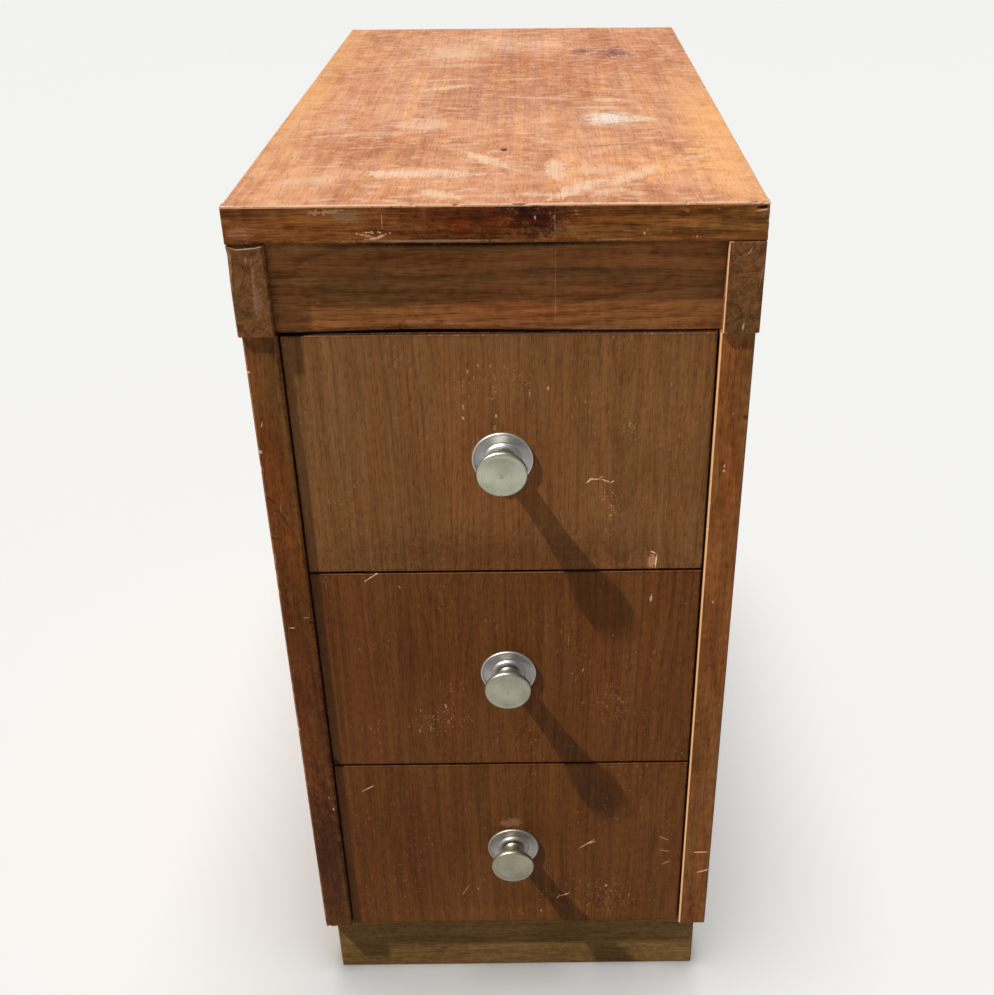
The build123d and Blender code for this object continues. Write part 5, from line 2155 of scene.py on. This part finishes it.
@dataclass
class Studio:
    """A plain pale floor, soft studio light and the camera."""

    camera_place: Triple = (0.0282, -0.9816, 1.0024)
    pitch: float = -0.478
    roll: float = 0.007
    yaw: float = -0.005
    focal_pixels: float = 1133.8
    principal: tuple[float, float] = (545.8, 372.8)
    sensor: float = 36.0
    floor_size: float = 60.0
    clip: tuple[float, float] = (0.01, 100.0)
    key_way: Triple = (3.8, 1.0, -6.74)
    key_angle: float = 1.2
    key_power: float = 10.0
    floor_light_way: Triple = (0.0, 0.0, -1.0)
    floor_light_angle: float = 30.0
    floor_light_power: float = 3.0
    light_distance: float = 4.0
    glow: float = 0.15

    def build(self) -> None:
        """Set the camera, the floor and the lights."""
        self.set_camera()
        floor = self.lay_floor()
        self.set_world()
        key = (self.key_way, self.key_angle, self.key_power)
        self.add_sun("key_light", *key, [floor], "EXCLUDE")
        fill = (self.floor_light_way, self.floor_light_angle, self.floor_light_power)
        self.add_sun("floor_light", *fill, [floor], "INCLUDE")
        bpy.context.scene.view_settings.view_transform = "Standard"

    def set_camera(self) -> None:
        """Put the camera where the photograph was taken from."""
        data = bpy.data.cameras.new("camera")
        camera = bpy.data.objects.new("camera", data)
        bpy.context.scene.collection.objects.link(camera)
        long_side = max(IMAGE_SIZE)
        data.sensor_width = self.sensor
        data.lens = self.focal_pixels / long_side * self.sensor
        data.shift_x = (IMAGE_SIZE[0] / 2 - self.principal[0]) / long_side
        data.shift_y = (self.principal[1] - IMAGE_SIZE[1] / 2) / long_side
        data.clip_start, data.clip_end = self.clip
        turn = (
            Matrix.Rotation(self.yaw, 4, "Z")
            @ Matrix.Rotation(self.pitch, 4, "X")
            @ Matrix.Rotation(self.roll, 4, "Y")
            @ Matrix.Rotation(math.pi / 2, 4, "X")
        )
        camera.matrix_world = Matrix.Translation(self.camera_place) @ turn
        bpy.context.scene.camera = camera

    def lay_floor(self) -> bpy.types.Object:
        """Lay the floor, which isn't part of the object."""
        half = self.floor_size / 2
        mesh = bpy.data.meshes.new("floor")
        corners = [(-half, -half, 0), (half, -half, 0), (half, half, 0), (-half, half, 0)]
        mesh.from_pydata(corners, [], [(0, 1, 2, 3)])
        mesh.materials.append(FloorFinish("floor_paint", "floor", tone(236, 236, 234)).material())
        floor = new_piece("floor", mesh)
        return floor

    def set_world(self) -> None:
        """Fill the room with even pale light."""
        world = bpy.data.worlds.new("studio")
        world.use_nodes = True
        world.node_tree.nodes.clear()
        graph = Graph(world.node_tree)
        sockets = {"Color": tone(244, 243, 240), "Strength": self.glow}
        glow = graph.node("ShaderNodeBackground", None, sockets)
        graph.node("ShaderNodeOutputWorld", None, {"Surface": glow})
        bpy.context.scene.world = world

    def add_sun(
        self,
        name: str,
        way: Triple,
        angle: float,
        power: float,
        lit: Sequence[bpy.types.Object],
        state: str,
    ) -> None:
        """Add a soft, even light from far away.

        Args:
            name: The light's name.
            way: The direction in which its light travels.
            angle: How wide it looks, in degrees, which softens its shadows.
            power: Its power in watts per square metre.
            lit: The objects that it is told about.
            state: Whether it lights only those, or all others.
        """
        data = bpy.data.lights.new(name, "SUN")
        data.energy = power
        data.angle = math.radians(angle)
        light = bpy.data.objects.new(name, data)
        light.location = (Vector(way) * -1.0).normalized() * self.light_distance
        light.rotation_euler = Vector(way).to_track_quat("-Z", "Y").to_euler()
        bpy.context.scene.collection.objects.link(light)
        group = bpy.data.collections.new(f"{name}_receivers")
        light.light_linking.receiver_collection = group
        for index, item in enumerate(lit):
            group.objects.link(item)
            group.collection_objects[index].light_linking.link_state = state


def build_fasteners(numbers: Sequence[int]) -> None:
    """Set all the screws and pins."""
    fasteners = Fasteners()
    wood_screw = FastenerSize(0.0036, 0.0018, 0.0020, 0.0018, 0.0260, 0.0009)
    pin = FastenerSize(0.0015, 0.0017, 0.0008, 0.0009, 0.0200)
    knob_screw = FastenerSize(0.0036, 0.0042, 0.0028, 0.0020, 0.0320, 0.0011)
    fasteners.set_row("runner_screws", "cabinet", wood_screw, SCREW_STEEL, 5)
    fasteners.set_row("top_button_screws", "cabinet", wood_screw, SCREW_STEEL, 7)
    fasteners.set_row("back_panel_pins", "cabinet", pin, SCREW_STEEL, 9)
    for number in numbers:
        node = f"drawer_{number}_knob_screw"
        fasteners.set_row(node, f"drawer_{number}", knob_screw, SCREW_STEEL, 10 + number)


def main() -> None:
    """Build the scene, one sub-assembly after another."""
    logging.basicConfig(level=logging.INFO, format="%(name)s: %(message)s")
    for block in list(bpy.data.objects):
        if block.type in {"CAMERA", "LIGHT"}:
            bpy.data.objects.remove(block)
    numbers = list(DRAWER_MARKS)
    Studio().build()
    Top().build()
    Carcase().build()
    Plinth().build()
    Runners(len(numbers)).build()
    lathe = Lathe()
    for number in numbers:
        Drawer(number, lathe).build()
    build_fasteners(numbers)


if __name__ == "__main__":
    main()
